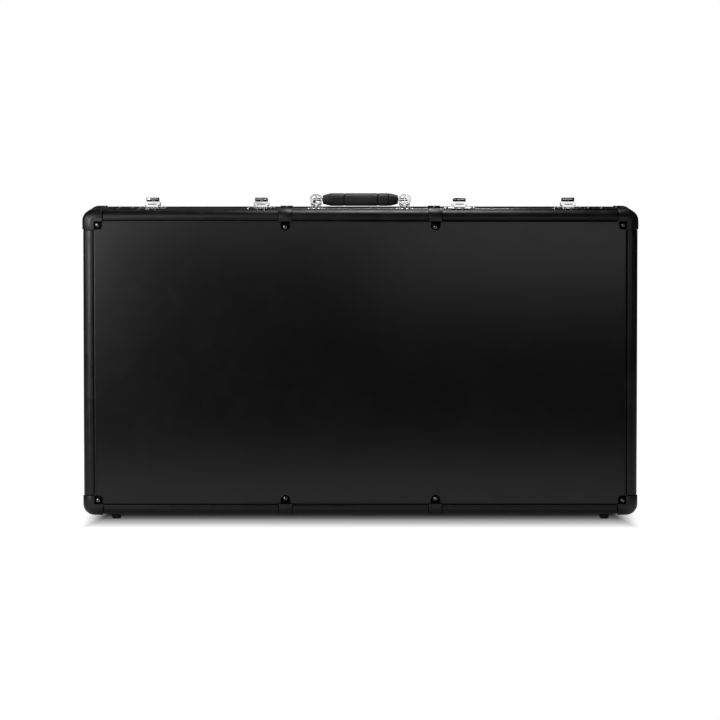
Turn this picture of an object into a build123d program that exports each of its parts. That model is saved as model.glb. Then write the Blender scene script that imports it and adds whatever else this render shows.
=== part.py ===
"""Road case for a keyboard, standing upright on its hinge side.

The shallow lid faces -Y, the deep base lies towards +Y, and the handle and latches are on top. X runs along
the case. The origin is on the floor, under the middle of the case. All sizes are in millimetres.
"""

import os
from math import hypot, sqrt

from build123d import *

# Closed case
case_length = 900.0
case_height = 495.0
lid_depth = 75.0
base_depth = 125.0
board = 6.5

# Frame extrusions
frame_skin = 2.0
flange_step = 0.6
edge_radius = 12.0
edge_leg = 16.0
edge_core_lip = 1.5
post_radius = 17.0
post_leg = 18.5
post_core_lip = 5.0

# Rim extrusions round the mouth
rim_leg = 20.0
rim_head = 6.0
rim_lip = 1.5
rim_inner_leg = 18.0
rim_chamfer = 0.8
tongue_thickness = 2.6
tongue_height = 3.0
tongue_play = 0.7
groove_floor_play = 0.5

# Pressed corner caps, straps and braces
pressing = 1.4
tab_thickness = 1.2
cap_reach = 31.0
tab_round = 5.0
cap_rivet_inset = 7.3
clamp_spacing = 244.0
clamp_width = 21.0
tongue_width = 16.5
clamp_reach = 32.5
clamp_rivet_inset = 6.0
brace_long = 84.0
brace_short = 45.0
brace_width = 14.0
brace_gap = 3.0
brace_rivet_pitch = 22.0
brace_end = 8.0

# Rivets
rivet_head_radius = 3.3
rivet_head_height = 1.6
rivet_shank_radius = 1.6
small_rivet_radius = 2.2
small_rivet_height = 1.1
small_shank_radius = 1.2
shank_play = 0.05
rivet_margin = 1.0

# Feet
foot_radius = 9.8
foot_tip_radius = 6.5
foot_drop = 8.5
foot_end_inset = 52.0
foot_inset = 28.0
foot_recess_radius = 4.2
foot_recess_depth = 5.0
screw_head_radius = 3.2
screw_head_height = 2.0
screw_shank_radius = 1.7

# Hinges
hinge_count = 3
hinge_end_inset = 150.0
hinge_length = 60.0
hinge_knuckles = 5
hinge_leaf = 1.5
hinge_leaf_width = 18.0
knuckle_radius = 3.4
hinge_pin_radius = 1.5
hinge_play = 0.3
running_play = 0.05
pin_head_radius = 2.4
pin_head_length = 0.8
hinge_rivet_inset = 7.0
hinge_rivet_pitch = 22.0

# Latches
outer_latch_inset = 110.0
inner_latch_offset = 89.5
latch_plate_width = 32.0
latch_wing_width = 50.0
latch_wing_length = 14.0
latch_wing_round = 4.5
latch_plate = 1.5
latch_plate_start = 3.0
latch_plate_length = 41.0
latch_pivot_y = 16.0
latch_pivot_z = 7.5
latch_pin_radius = 1.5
lever_width = 21.0
lever_wall = 1.4
lever_top = 17.8
lever_front = 4.0
lever_flat = 4.0
lever_tail = 24.0
lever_tail_top = 7.0
lever_lip = 5.0
lever_lip_rise = 1.2
lever_skirt = 3.9
latch_side_play = 0.3
ear_thickness = 1.6
ear_length = 10.0
ear_round = 4.0
claw_arm = 6.0
claw_drop = 0.5
claw_side = 1.7
claw_gap = 0.5
claw_bar = 1.8
claw_bar_height = 5.7
claw_bar_middle = 9.5
claw_strap = 3.8
claw_corner = 1.9
claw_boss_radius = 3.0
claw_stub_radius = 1.5
hook_y = -9.2
hook_thickness = 1.6
hook_top = 10.4
hook_width = 20.0
hook_play = 0.3
catch_width = 21.5
catch_length = 18.0
lock_radius = 4.2
lock_rise = 1.3
lock_depth = 5.0
lock_place = 11.0
key_slot_length = 5.0
key_slot_width = 1.1
key_slot_depth = 0.9

# Handle
bracket_spacing = 145.0
bracket_width = 27.0
bracket_depth = 26.0
bracket_plate = 1.5
bracket_start = 2.0
ring_width = 21.0
ring_height = 18.0
ring_wall = 2.8
ring_depth = 2.4
ring_bar = 2.4
ring_bottom = 5.6
ring_inset = 3.0
handle_pin_radius = 2.0
handle_pin_y = 38.0
handle_pin_z = 7.0
handle_ear = 2.4
handle_ear_length = 9.0
handle_eye_width = 10.6
handle_eye_radius = 4.2
handle_side_play = 0.3
handle_reach = 38.6
handle_tilt = 9.0
core_thickness = 3.0
core_width = 12.0
grip_length = 124.0
grip_body_length = 96.0
grip_height = 19.0
grip_depth = 24.0
grip_round = 8.5
grip_end_height = 14.0
grip_end_depth = 16.5
grip_end_round = 5.5

# Foam and inner fittings
foam = 20.0
lid_foam = 15.0
foam_play = 0.3
divider = 6.0
cable_bay = 95.0
divider_drop = 12.0

# How far a cut or a join runs past a face
overrun = 1.0

# Places worked out from the sizes above
half_length = case_length / 2
front_y = -(lid_depth + base_depth) / 2
back_y = -front_y
parting_y = front_y + lid_depth
bottom_z = foot_drop
top_z = bottom_z + case_height
middle_z = (bottom_z + top_z) / 2
board_inner = frame_skin + board
edge_core = board_inner + edge_core_lip
post_core = board_inner + post_core_lip
hinge_z = bottom_z - hinge_play - knuckle_radius
outer_latch_x = half_length - outer_latch_inset
inner_latch_x = bracket_spacing / 2 + inner_latch_offset
latch_places = (-outer_latch_x, -inner_latch_x, inner_latch_x, outer_latch_x)
diagonal = 1 - sqrt(0.5)
shells = ((-1, "lid"), (1, "base"))


def block(x0, x1, y0, y1, z0, z1):
    """A box between two corners."""
    middle = Pos((x0 + x1) / 2, (y0 + y1) / 2, (z0 + z1) / 2)
    return middle * Box(abs(x1 - x0), abs(y1 - y0), abs(z1 - z0))


def rod(radius, start, direction, length):
    """A round bar from a point along a direction."""
    plane = Plane(origin=start, z_dir=direction)
    return extrude(plane * Circle(radius), amount=length)


def profile(points):
    """A closed flat shape through points."""
    return make_face(Polyline(*points, close=True))


def bar(section, origin, across, inward, length):
    """A section swept straight, both ways from its origin."""
    along = Vector(*across).cross(Vector(*inward))
    plane = Plane(origin=origin, x_dir=across, z_dir=along)
    return extrude(plane * section, amount=length / 2, both=True)


def group(solids):
    """Separate solids that share one node."""
    return Compound(children=[solid for piece in solids for solid in piece.solids()])


def save(name, shape):
    """Writes one node."""
    export_step(shape, os.path.join("parts", name + ".step"))


def outer_y(side):
    """The outer face of a shell: the lid's front or the base's back."""
    return front_y if side < 0 else back_y


# Rivets and the holes that they fill


def rivet(spot, head_radius, head_height, shank_radius):
    """A domed rivet whose head sits at a spot: its point, its outward direction and its grip."""
    point, outward, grip = spot
    sphere_radius = (head_radius**2 + head_height**2) / (2 * head_height)
    centre = head_height - sphere_radius
    dome = Pos(0, 0, centre) * Sphere(sphere_radius)
    keep = Pos(0, 0, head_height / 2) * Box(2 * head_radius, 2 * head_radius, head_height)
    shank = Pos(0, 0, -grip / 2) * Cylinder(shank_radius, grip)
    return Plane(origin=point, z_dir=outward) * ((dome & keep) + shank)


def rivets(spots, small=False):
    """A group of like rivets."""
    sizes = (rivet_head_radius, rivet_head_height, rivet_shank_radius)
    if small:
        sizes = (small_rivet_radius, small_rivet_height, small_shank_radius)
    return group([rivet(spot, *sizes) for spot in spots])


def drilled(shape, spots, shank_radius=rivet_shank_radius):
    """A shape with a hole for each spot that lies over it."""
    holes = []
    bounds = shape.bounding_box()
    for point, outward, grip in spots:
        inside = Vector(*point) - Vector(*outward) * (grip / 2)
        near = all(
            low - grip <= value <= high + grip
            for low, value, high in zip(tuple(bounds.min), tuple(inside), tuple(bounds.max))
        )
        if near:
            start = tuple(Vector(*point) + Vector(*outward) * overrun)
            holes.append(rod(shank_radius + shank_play, start, tuple(-Vector(*outward)), grip + overrun))
    return shape - holes if holes else shape


def cap_spots(side):
    """Rivets of one shell's corner caps: one on each of a cap's three tabs."""
    tab_top = frame_skin - tab_thickness
    grip = tab_thickness + board
    edge_place = edge_leg + cap_rivet_inset
    post_place = post_leg + cap_rivet_inset - pressing / 2
    spots = []
    for sx in (-1, 1):
        for sz in (-1, 1):
            face_z = top_z if sz > 0 else bottom_z
            tab_y = outer_y(side) - side * edge_place
            face = (sx * (half_length - edge_place), outer_y(side) - side * tab_top, face_z - sz * edge_place)
            spots.append((face, (0, side, 0), grip))
            end = (sx * (half_length - tab_top), tab_y, face_z - sz * post_place)
            spots.append((end, (sx, 0, 0), grip))
            wall = (sx * (half_length - post_place), tab_y, face_z - sz * tab_top)
            spots.append((wall, (0, 0, sz), grip))
    return spots


def clamp_spots(side):
    """Rivets of one shell's edge clamps: one on each tongue."""
    tab_top = frame_skin - tab_thickness
    grip = tab_thickness + board
    place = clamp_reach - clamp_rivet_inset
    spots = []
    for sx in (-1, 1):
        for sz in (-1, 1):
            face_z = top_z if sz > 0 else bottom_z
            x = sx * clamp_spacing / 2
            spots.append(((x, outer_y(side) - side * tab_top, face_z - sz * place), (0, side, 0), grip))
            spots.append(((x, outer_y(side) - side * place, face_z - sz * tab_top), (0, 0, sz), grip))
    return spots


def brace_spots(side):
    """Rivets of one shell's rim braces: two on the long arm and one on the short arm."""
    grip = pressing + board_inner + rim_lip
    y = parting_y + side * (brace_gap + brace_width / 2)
    spots = []
    for sx in (-1, 1):
        for sz in (-1, 1):
            face_z = top_z if sz > 0 else bottom_z
            for step in range(2):
                inset = brace_long - brace_end - step * brace_rivet_pitch
                point = (sx * (half_length - inset), y, face_z + sz * pressing)
                spots.append((point, (0, 0, sz), grip))
            point = (sx * (half_length + pressing), y, face_z - sz * (brace_short - brace_end))
            spots.append((point, (sx, 0, 0), grip))
    return spots


# Boards and frame


def face_panel(side):
    """The lid's front or the base's back board."""
    reach = half_length - edge_core
    y0 = outer_y(side) - side * frame_skin
    y1 = outer_y(side) - side * board_inner
    return block(-reach, reach, y0, y1, bottom_z + edge_core, top_z - edge_core)


def wall(side, place):
    """One of a shell's four walls."""
    y0 = outer_y(side) - side * edge_core
    y1 = parting_y + side * rim_head
    reach = half_length - post_core
    if place == "top":
        return block(-reach, reach, y0, y1, top_z - board_inner, top_z - frame_skin)
    if place == "bottom":
        return block(-reach, reach, y0, y1, bottom_z + frame_skin, bottom_z + board_inner)
    sx = -1 if place == "left" else 1
    x0 = sx * (half_length - board_inner)
    x1 = sx * (half_length - frame_skin)
    return block(x0, x1, y0, y1, bottom_z + post_core, top_z - post_core)


def edge_section(radius, leg, core):
    """An edge extrusion: a rounded nose, two stepped flanges, and a core that boxes in the boards' ends."""
    line = Polyline(
        (radius, 0),
        (radius, flange_step),
        (leg, flange_step),
        (leg, frame_skin),
        (core, frame_skin),
        (core, board_inner),
        (board_inner, core),
        (frame_skin, core),
        (frame_skin, leg),
        (flange_step, leg),
        (flange_step, radius),
        (0, radius),
    )
    nose = ThreePointArc((0, radius), (radius * diagonal, radius * diagonal), (radius, 0))
    return make_face(line + nose)


def long_edges(side):
    """The two extrusions along a shell's long outer edges."""
    section = edge_section(edge_radius, edge_leg, edge_core)
    length = case_length - 2 * post_leg
    y = outer_y(side)
    top = bar(section, (0, y, top_z), (0, 0, -1), (0, -side, 0), length)
    bottom = bar(section, (0, y, bottom_z), (0, 0, 1), (0, -side, 0), length)
    return top, bottom


def short_edges(side):
    """The two extrusions along a shell's short outer edges."""
    section = edge_section(edge_radius, edge_leg, edge_core)
    length = case_height - 2 * post_leg
    y = outer_y(side)
    edges = []
    for sx in (-1, 1):
        edges.append(bar(section, (sx * half_length, y, middle_z), (-sx, 0, 0), (0, -side, 0), length))
    return edges


def corner_posts(side):
    """The four extrusions along a shell's depth, up to the mouth."""
    section = edge_section(post_radius, post_leg, post_core)
    start = outer_y(side) - side * edge_leg
    length = abs(parting_y - start)
    y = (start + parting_y) / 2
    posts = []
    for sx in (-1, 1):
        for face_z, sz in ((top_z, 1), (bottom_z, -1)):
            posts.append(bar(section, (sx * half_length, y, face_z), (-sx, 0, 0), (0, 0, -sz), length))
    return posts


def rim_section(tongued, whole):
    """A rim extrusion across its length: depth below the outer face, then distance from the parting plane."""
    deep = board_inner + rim_lip
    middle = (frame_skin + board_inner) / 2 + edge_core_lip / 2
    half_tongue = tongue_thickness / 2
    start = 0 if whole else frame_skin
    shape = profile([(start, 0), (deep, 0), (deep, rim_head), (start, rim_head)])
    shape += profile([(board_inner, 0), (deep, 0), (deep, rim_inner_leg), (board_inner, rim_inner_leg)])
    if whole:
        shape += profile([(0, 0), (frame_skin, 0), (frame_skin, rim_leg), (0, rim_leg)])
        shape -= profile([(0, 0), (rim_chamfer, 0), (0, rim_chamfer)])
        shape -= profile([(0, rim_leg), (rim_chamfer, rim_leg), (0, rim_leg - rim_chamfer)])
    if tongued:
        low, high = middle - half_tongue, middle + half_tongue
        shape += profile([(low, -tongue_height), (high, -tongue_height), (high, overrun), (low, overrun)])
    else:
        low, high = middle - half_tongue - tongue_play, middle + half_tongue + tongue_play
        floor = tongue_height + groove_floor_play
        shape -= profile([(low, -overrun), (high, -overrun), (high, floor), (low, floor)])
    return shape


def rim_length(side, place, length):
    """One rim length: its outside ends at the posts' legs, its inside at their cores."""
    outside = bar(rim_section(side < 0, True), *place, length - 2 * post_leg)
    inside = bar(rim_section(side < 0, False), *place, length - 2 * post_core)
    return outside + inside


def rim(side):
    """The four rim lengths of one shell: tongued on the lid, grooved on the base."""
    lengths = []
    for sz, face_z in ((1, top_z), (-1, bottom_z)):
        place = ((0, parting_y, face_z), (0, 0, -sz), (0, side, 0))
        lengths.append(rim_length(side, place, case_length))
    for sx in (-1, 1):
        place = ((sx * half_length, parting_y, middle_z), (-sx, 0, 0), (0, side, 0))
        lengths.append(rim_length(side, place, case_height))
    return lengths


# Pressed caps, clamps and braces


def rounded_corner(offset):
    """The rounded outside of a case corner in local axes, its three outer planes moved out by an offset."""
    size = 3 * cap_reach
    body = Pos(-offset, -offset, -offset) * Box(size, size, size, align=(Align.MIN, Align.MIN, Align.MIN))
    post_edge = body.edges().filter_by(Axis.Y).sort_by(lambda edge: edge.center().X + edge.center().Z)[0]
    body = fillet(post_edge, post_radius + offset)
    face = body.faces().sort_by(Axis.Y)[0]
    near = [edge for edge in face.edges() if min(edge.center().X, edge.center().Z) < post_radius]
    return fillet(near, edge_radius + offset)


def corner_cap():
    """One pressed corner cap in local axes: X from the end, Y from the outer face, Z from the top."""
    far = 3 * cap_reach
    reach = block(-pressing, cap_reach, -pressing, cap_reach, -pressing, cap_reach)
    inner = rounded_corner(0)
    inner -= block(edge_leg, far, -overrun, frame_skin, edge_leg, far)
    inner -= block(-overrun, frame_skin, edge_leg, far, post_leg, far)
    inner -= block(post_leg, far, edge_leg, far, -overrun, frame_skin)
    cap = (rounded_corner(pressing) & reach) - inner
    edge_start = edge_leg + pressing
    post_start = post_leg + pressing
    tab_top = frame_skin - tab_thickness
    out = -2 * pressing
    cap -= block(edge_start, far, out, tab_top, edge_start, far)
    cap -= block(out, tab_top, edge_start, far, post_start, far)
    cap -= block(post_start, far, edge_start, far, out, tab_top)
    corners = []
    for edge in cap.edges():
        centre = edge.center()
        short = edge.length < 2 * tab_thickness
        at_end = [abs(value - cap_reach) < 0.01 for value in (centre.X, centre.Y, centre.Z)]
        if short and sum(at_end) == 2:
            corners.append(edge)
    return fillet(corners, tab_round)


def placed_corners(cap, side):
    """The four corner caps of one shell."""
    caps = []
    for sx in (-1, 1):
        for sz in (-1, 1):
            piece = cap
            if sx > 0:
                piece = mirror(piece, about=Plane.YZ)
            if side > 0:
                piece = mirror(piece, about=Plane.XZ)
            if sz > 0:
                piece = mirror(piece, about=Plane.XY)
            face_z = top_z if sz > 0 else bottom_z
            caps.append(Pos(sx * half_length, outer_y(side), face_z) * piece)
    return caps


def strap_section():
    """A clamp's cover over an edge extrusion."""
    out, end = -pressing, edge_leg + pressing
    outer = (edge_radius + pressing) * diagonal - pressing
    inner = edge_radius * diagonal
    line = Polyline((edge_radius, out), (end, out), (end, frame_skin), (edge_leg, frame_skin), (edge_leg, 0))
    line += Line((edge_leg, 0), (edge_radius, 0))
    line += ThreePointArc((edge_radius, 0), (inner, inner), (0, edge_radius))
    line += Polyline(
        (0, edge_radius),
        (0, edge_leg),
        (frame_skin, edge_leg),
        (frame_skin, end),
        (out, end),
        (out, edge_radius),
    )
    line += ThreePointArc((out, edge_radius), (outer, outer), (edge_radius, out))
    return make_face(line)


def edge_clamp():
    """One clamp in local axes: X along the edge, Y from the outer face, Z from the top."""
    cover = bar(strap_section(), (0, 0, 0), (0, 0, 1), (0, 1, 0), clamp_width)
    start = edge_leg + pressing / 2
    round_at = clamp_reach - tongue_width / 2
    half = tongue_width / 2
    low, high = frame_skin - tab_thickness, frame_skin
    face = block(-half, half, low, high, start, round_at)
    face += rod(half, (0, low, round_at), (0, 1, 0), tab_thickness)
    top = block(-half, half, start, round_at, low, high)
    top += rod(half, (0, round_at, low), (0, 0, 1), tab_thickness)
    return cover + face + top


def placed_clamps(clamp, side):
    """The four edge clamps of one shell."""
    clamps = []
    for sx in (-1, 1):
        for sz, face_z in ((1, top_z), (-1, bottom_z)):
            piece = clamp
            if side > 0:
                piece = mirror(piece, about=Plane.XZ)
            if sz > 0:
                piece = mirror(piece, about=Plane.XY)
            clamps.append(Pos(sx * clamp_spacing / 2, outer_y(side), face_z) * piece)
    return clamps


def rim_braces(side):
    """Straps bent round the four corners of a shell's mouth."""
    outer = (post_radius + pressing) * diagonal - pressing
    inner = post_radius * diagonal
    y = parting_y + side * (brace_gap + brace_width / 2)
    line = Polyline(
        (post_radius, -pressing), (brace_long, -pressing), (brace_long, 0), (post_radius, 0)
    )
    line += ThreePointArc((post_radius, 0), (inner, inner), (0, post_radius))
    line += Polyline(
        (0, post_radius), (0, brace_short), (-pressing, brace_short), (-pressing, post_radius)
    )
    line += ThreePointArc((-pressing, post_radius), (outer, outer), (post_radius, -pressing))
    section = make_face(line)
    braces = []
    for sx in (-1, 1):
        for face_z, sz in ((top_z, 1), (bottom_z, -1)):
            braces.append(bar(section, (sx * half_length, y, face_z), (-sx, 0, 0), (0, 0, -sz), brace_width))
    return braces


# Feet


def foot_places(side):
    """Where one shell's feet stand."""
    y = outer_y(side) - side * foot_inset
    return [(sx * (half_length - foot_end_inset), y) for sx in (-1, 1)]


def foot_spots(side):
    """The screws' holes through the bottom wall."""
    head = foot_recess_depth
    return [((x, y, head), (0, 0, -1), bottom_z + board_inner - head) for x, y in foot_places(side)]


def feet(side):
    """Rubber feet under one shell, each with a recess for its screw."""
    made = []
    height = bottom_z + frame_skin
    for x, y in foot_places(side):
        foot = Pos(x, y, height / 2) * Cone(foot_tip_radius, foot_radius, height)
        foot -= rod(foot_recess_radius, (x, y, 0), (0, 0, 1), foot_recess_depth)
        made.append(drilled(foot, foot_spots(side), screw_shank_radius))
    return made


def foot_screws(side):
    """Pan-headed screws inside the feet."""
    made = []
    for x, y in foot_places(side):
        head_z = foot_recess_depth
        head = rod(screw_head_radius, (x, y, head_z - screw_head_height), (0, 0, 1), screw_head_height)
        length = bottom_z + board_inner - head_z
        made.append(head + rod(screw_shank_radius, (x, y, head_z), (0, 0, 1), length))
    return made


# Hinges


def hinge_places():
    """The middle of each hinge along the case."""
    first = hinge_end_inset - half_length
    spacing = -2 * first / (hinge_count - 1)
    return [first + spacing * index for index in range(hinge_count)]


def hinge_spots(side):
    """Rivets through one shell's hinge leaves."""
    y = parting_y + side * (hinge_leaf_width - hinge_rivet_inset)
    grip = hinge_leaf + board_inner + rim_lip
    spots = []
    for x in hinge_places():
        for step in (-1, 1):
            spots.append(((x + step * hinge_rivet_pitch, y, bottom_z - hinge_leaf), (0, 0, -1), grip))
    return spots


def hinge_leaves(side):
    """One shell's leaves with their knuckles: the base has the outer knuckles, the lid those between."""
    first = 0 if side > 0 else 1
    pitch = hinge_length / hinge_knuckles
    leaves = []
    for x in hinge_places():
        leaf = block(
            x - hinge_length / 2,
            x + hinge_length / 2,
            parting_y,
            parting_y + side * hinge_leaf_width,
            bottom_z - hinge_leaf,
            bottom_z,
        )
        for index in range(hinge_knuckles):
            start = x - hinge_length / 2 + index * pitch
            if index % 2 == first:
                length = pitch - hinge_play
                knuckle = rod(knuckle_radius, (start + hinge_play / 2, parting_y, hinge_z), (1, 0, 0), length)
                leaf += knuckle
                leaf -= rod(hinge_pin_radius + running_play, (start, parting_y, hinge_z), (1, 0, 0), pitch)
            else:
                cut = knuckle_radius + hinge_play
                leaf -= block(
                    start - hinge_play / 2,
                    start + pitch + hinge_play / 2,
                    parting_y - cut,
                    parting_y + cut,
                    hinge_z,
                    bottom_z + overrun,
                )
        leaves.append(drilled(leaf, hinge_spots(side), small_shank_radius))
    return leaves


def hinge_pins():
    """Pins with a head at each end."""
    pins = []
    for x in hinge_places():
        start = x - hinge_length / 2
        pin = rod(hinge_pin_radius, (start, parting_y, hinge_z), (1, 0, 0), hinge_length)
        pin += rod(pin_head_radius, (start - pin_head_length, parting_y, hinge_z), (1, 0, 0), pin_head_length)
        pin += rod(pin_head_radius, (start + hinge_length, parting_y, hinge_z), (1, 0, 0), pin_head_length)
        pins.append(pin)
    return pins


# Latches, in local axes: Y from the parting plane towards the base, Z from the top face


def at_latch(x, shape):
    """A latch piece moved to its place."""
    return Pos(x, parting_y, top_z) * shape


def plate_spots():
    """Rivets of one latch plate: two in its wings and two behind."""
    inset = small_rivet_radius + rivet_margin
    grip = latch_plate + board_inner
    wing = (latch_wing_width / 2 - latch_wing_round, latch_plate_start + latch_wing_length / 2)
    rear = (latch_plate_width / 2 - inset, latch_plate_start + latch_plate_length - inset)
    return [((sx * x, y, latch_plate), (0, 0, 1), grip) for sx in (-1, 1) for x, y in (wing, rear)]


def catch_spots():
    """Rivets of one catch."""
    y = hook_y - catch_length + small_rivet_radius + rivet_margin
    return [((sx * catch_width / 4, y, latch_plate), (0, 0, 1), latch_plate + board_inner) for sx in (-1, 1)]


def moved_spots(spots):
    """Latch spots at all the latches."""
    return [
        ((x + point[0], parting_y + point[1], top_z + point[2]), outward, grip)
        for x in latch_places
        for point, outward, grip in spots
    ]


def latch_plate_piece():
    """A latch's plate with its wings and two pivot ears. Past the rim it is thicker, down to the board."""
    half = latch_plate_width / 2
    end = latch_plate_start + latch_plate_length
    wing = latch_wing_width / 2
    wings = block(-wing, wing, latch_plate_start, latch_plate_start + latch_wing_length, 0, latch_plate)
    wings = fillet(wings.edges().filter_by(Axis.Z), latch_wing_round)
    plate = wings + block(-half, half, latch_plate_start, end, 0, latch_plate)
    plate += block(-half, half, rim_leg, end, -frame_skin, latch_plate)
    outer = lever_width / 2 - lever_wall - latch_side_play
    y0, y1 = latch_pivot_y - ear_length / 2, latch_pivot_y + ear_length / 2
    top = latch_pivot_z + ear_round
    for sx in (-1, 1):
        ear = block(sx * (outer - ear_thickness), sx * outer, y0, y1, latch_plate, top)
        top_edges = ear.edges().filter_by(Axis.X).group_by(Axis.Z)[-1]
        plate += fillet(top_edges, ear_round)
    hole = rod(latch_pin_radius, (-half, latch_pivot_y, latch_pivot_z), (1, 0, 0), latch_plate_width)
    return drilled(plate - hole, plate_spots(), small_shank_radius)


def latch_pin():
    """The pin that a lever turns on."""
    length = lever_width
    return rod(latch_pin_radius, (-length / 2, latch_pivot_y, latch_pivot_z), (1, 0, 0), length)


def claw_pivot():
    """Where the claw turns on the lever, in the latch's Y and Z."""
    return latch_pivot_y + claw_arm, latch_pivot_z - claw_drop


def lever():
    """The lever: a channel that slopes down to a finger lip, open below."""
    front = latch_pivot_y - lever_front
    crest = latch_pivot_y + lever_flat
    tail = latch_pivot_y + lever_tail
    skirt = latch_pivot_z - lever_skirt
    nose = lever_front / 2
    end = tail + lever_lip
    slope = (lever_top - lever_tail_top) / (tail - crest)
    drop = lever_wall * sqrt(1 + slope**2)
    outline = [
        (front, skirt + nose),
        (front, lever_top - nose),
        (front + nose, lever_top),
        (crest, lever_top),
        (tail, lever_tail_top),
        (end, lever_tail_top + lever_lip_rise),
        (end, lever_tail_top + lever_lip_rise - lever_wall),
        (tail, lever_tail_top - lever_wall),
        (tail - lever_front, skirt + nose / 4),
        (crest, skirt),
        (front + nose, skirt),
    ]
    inner_end = tail - lever_wall
    hollow = [
        (front - overrun, skirt - overrun),
        (front - overrun, lever_top - lever_wall),
        (crest, lever_top - lever_wall),
        (inner_end, lever_tail_top + slope * lever_wall - drop),
        (inner_end, skirt - overrun),
    ]
    across = ((0, 0, 0), (0, 1, 0), (0, 0, 1))
    shape = bar(profile(outline), *across, lever_width)
    shape -= bar(profile(hollow), *across, lever_width - 2 * lever_wall)
    pin_start = (-lever_width, latch_pivot_y, latch_pivot_z)
    shape -= rod(latch_pin_radius + running_play, pin_start, (1, 0, 0), 2 * lever_width)
    shape -= rod(claw_stub_radius + running_play, (-lever_width, *claw_pivot()), (1, 0, 0), 2 * lever_width)
    y, z, outward = lock_seat()
    start = (0, y - outward[1] * lock_depth, z - outward[2] * lock_depth)
    return shape - rod(lock_radius, start, outward, 2 * lock_depth)


def lock_seat():
    """Where the lock sits on the lever's slope, and the slope's outward direction."""
    crest = latch_pivot_y + lever_flat
    run = latch_pivot_y + lever_tail - crest
    fall = lever_top - lever_tail_top
    length = hypot(run, fall)
    outward = (0, fall / length, run / length)
    y = crest + lock_place * run / length
    z = lever_top - lock_place * fall / length
    return y, z, outward


def lock_cylinder():
    """A key cylinder through the lever's slope, with a plain slot."""
    y, z, outward = lock_seat()
    start = (0, y - outward[1] * lock_depth, z - outward[2] * lock_depth)
    body = rod(lock_radius, start, outward, lock_depth + lock_rise)
    top = (0, y + outward[1] * lock_rise, z + outward[2] * lock_rise)
    face = Plane(origin=top, x_dir=(1, 0, 0), z_dir=outward)
    slot = extrude(face * Rectangle(key_slot_width, key_slot_length), amount=-key_slot_depth)
    return body - slot


def claw():
    """The claw: a bail outside the lever, with a deep bar in front and two stubs in the lever's walls."""
    pivot_y, pivot_z = claw_pivot()
    inner = lever_width / 2 + claw_gap
    outer = inner + claw_side
    bar_y = hook_y - hook_play
    half = claw_strap / 2
    side_shape = profile(
        [
            (bar_y - claw_bar / 2, claw_bar_middle - half),
            (pivot_y, pivot_z - half),
            (pivot_y, pivot_z + half),
            (bar_y - claw_bar / 2, claw_bar_middle + half),
        ]
    )
    front = Rectangle(2 * outer, claw_bar_height)
    front = fillet(front.vertices(), claw_corner)
    plane = Plane(origin=(0, bar_y, claw_bar_middle), x_dir=(1, 0, 0), z_dir=(0, -1, 0))
    piece = extrude(plane * front, amount=claw_bar)
    for sx in (-1, 1):
        middle = sx * (inner + outer) / 2
        piece += bar(side_shape, (middle, 0, 0), (0, 1, 0), (0, 0, 1), claw_side)
        start = inner if sx > 0 else -outer
        piece += rod(claw_boss_radius, (start, pivot_y, pivot_z), (1, 0, 0), claw_side)
        stub = claw_gap + lever_wall
        piece += rod(claw_stub_radius, (sx * inner, pivot_y, pivot_z), (-sx, 0, 0), stub)
    return piece


def catch():
    """The lid's catch: a plate with an upright hook across it."""
    half = catch_width / 2
    plate = block(-half, half, hook_y - catch_length, hook_y + hook_thickness * 2, 0, latch_plate)
    hook = block(-hook_width / 2, hook_width / 2, hook_y, hook_y + hook_thickness, latch_plate / 2, hook_top)
    tips = hook.edges().filter_by(Axis.Y).group_by(Axis.Z)[-1]
    hook = fillet(tips, hook_thickness)
    return drilled(plate + hook, catch_spots(), small_shank_radius)


# Handle, in local axes: Y from the parting plane towards the base, Z from the top face


def bracket_spots():
    """Rivets of both handle plates."""
    spots = []
    y0 = rim_leg + bracket_start
    z = bracket_plate - frame_skin
    for sx in (-1, 1):
        for end in (-1, 1):
            x = sx * bracket_spacing / 2 + end * (bracket_width / 2 - small_rivet_radius - rivet_margin)
            y = y0 + bracket_depth - small_rivet_radius - rivet_margin
            point = (x, parting_y + y, top_z + z)
            spots.append((point, (0, 0, 1), bracket_plate + board))
    return spots


def bracket():
    """A handle bracket: a plate, an upright ring with a cross in it, and two ears behind for the pin."""
    y0 = rim_leg + bracket_start
    half = bracket_width / 2
    floor = -frame_skin
    piece = block(-half, half, y0, y0 + bracket_depth, floor, floor + bracket_plate)
    ring_y = y0 + ring_inset
    centre_z = ring_bottom + ring_height / 2
    plane = Plane(origin=(0, ring_y, centre_z), x_dir=(1, 0, 0), z_dir=(0, -1, 0))
    ring = Ellipse(ring_width / 2, ring_height / 2)
    ring -= Ellipse(ring_width / 2 - ring_wall, ring_height / 2 - ring_wall)
    ring += Rectangle(ring_bar, ring_height - ring_wall) + Rectangle(ring_width - ring_wall, ring_bar)
    piece += extrude(plane * ring, amount=-ring_depth)
    stem_top = ring_bottom + ring_wall
    piece += block(-ring_bar, ring_bar, ring_y, ring_y + ring_depth, floor, stem_top)
    inner = handle_eye_width / 2 + handle_side_play
    y1 = handle_pin_y + handle_ear_length / 2
    for sx in (-1, 1):
        ear = block(sx * inner, sx * (inner + handle_ear), y1 - handle_ear_length, y1, floor, handle_pin_z)
        start = (min(sx * inner, sx * (inner + handle_ear)), handle_pin_y, handle_pin_z)
        ear += rod(handle_ear_length / 2, start, (1, 0, 0), handle_ear)
        piece += ear
    return piece - rod(handle_pin_radius, (-half, handle_pin_y, handle_pin_z), (1, 0, 0), bracket_width)


def brackets():
    """Both handle brackets, drilled for their rivets."""
    made = [Pos(sx * bracket_spacing / 2, parting_y, top_z) * bracket() for sx in (-1, 1)]
    return [drilled(piece, bracket_spots(), small_shank_radius) for piece in made]


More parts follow.
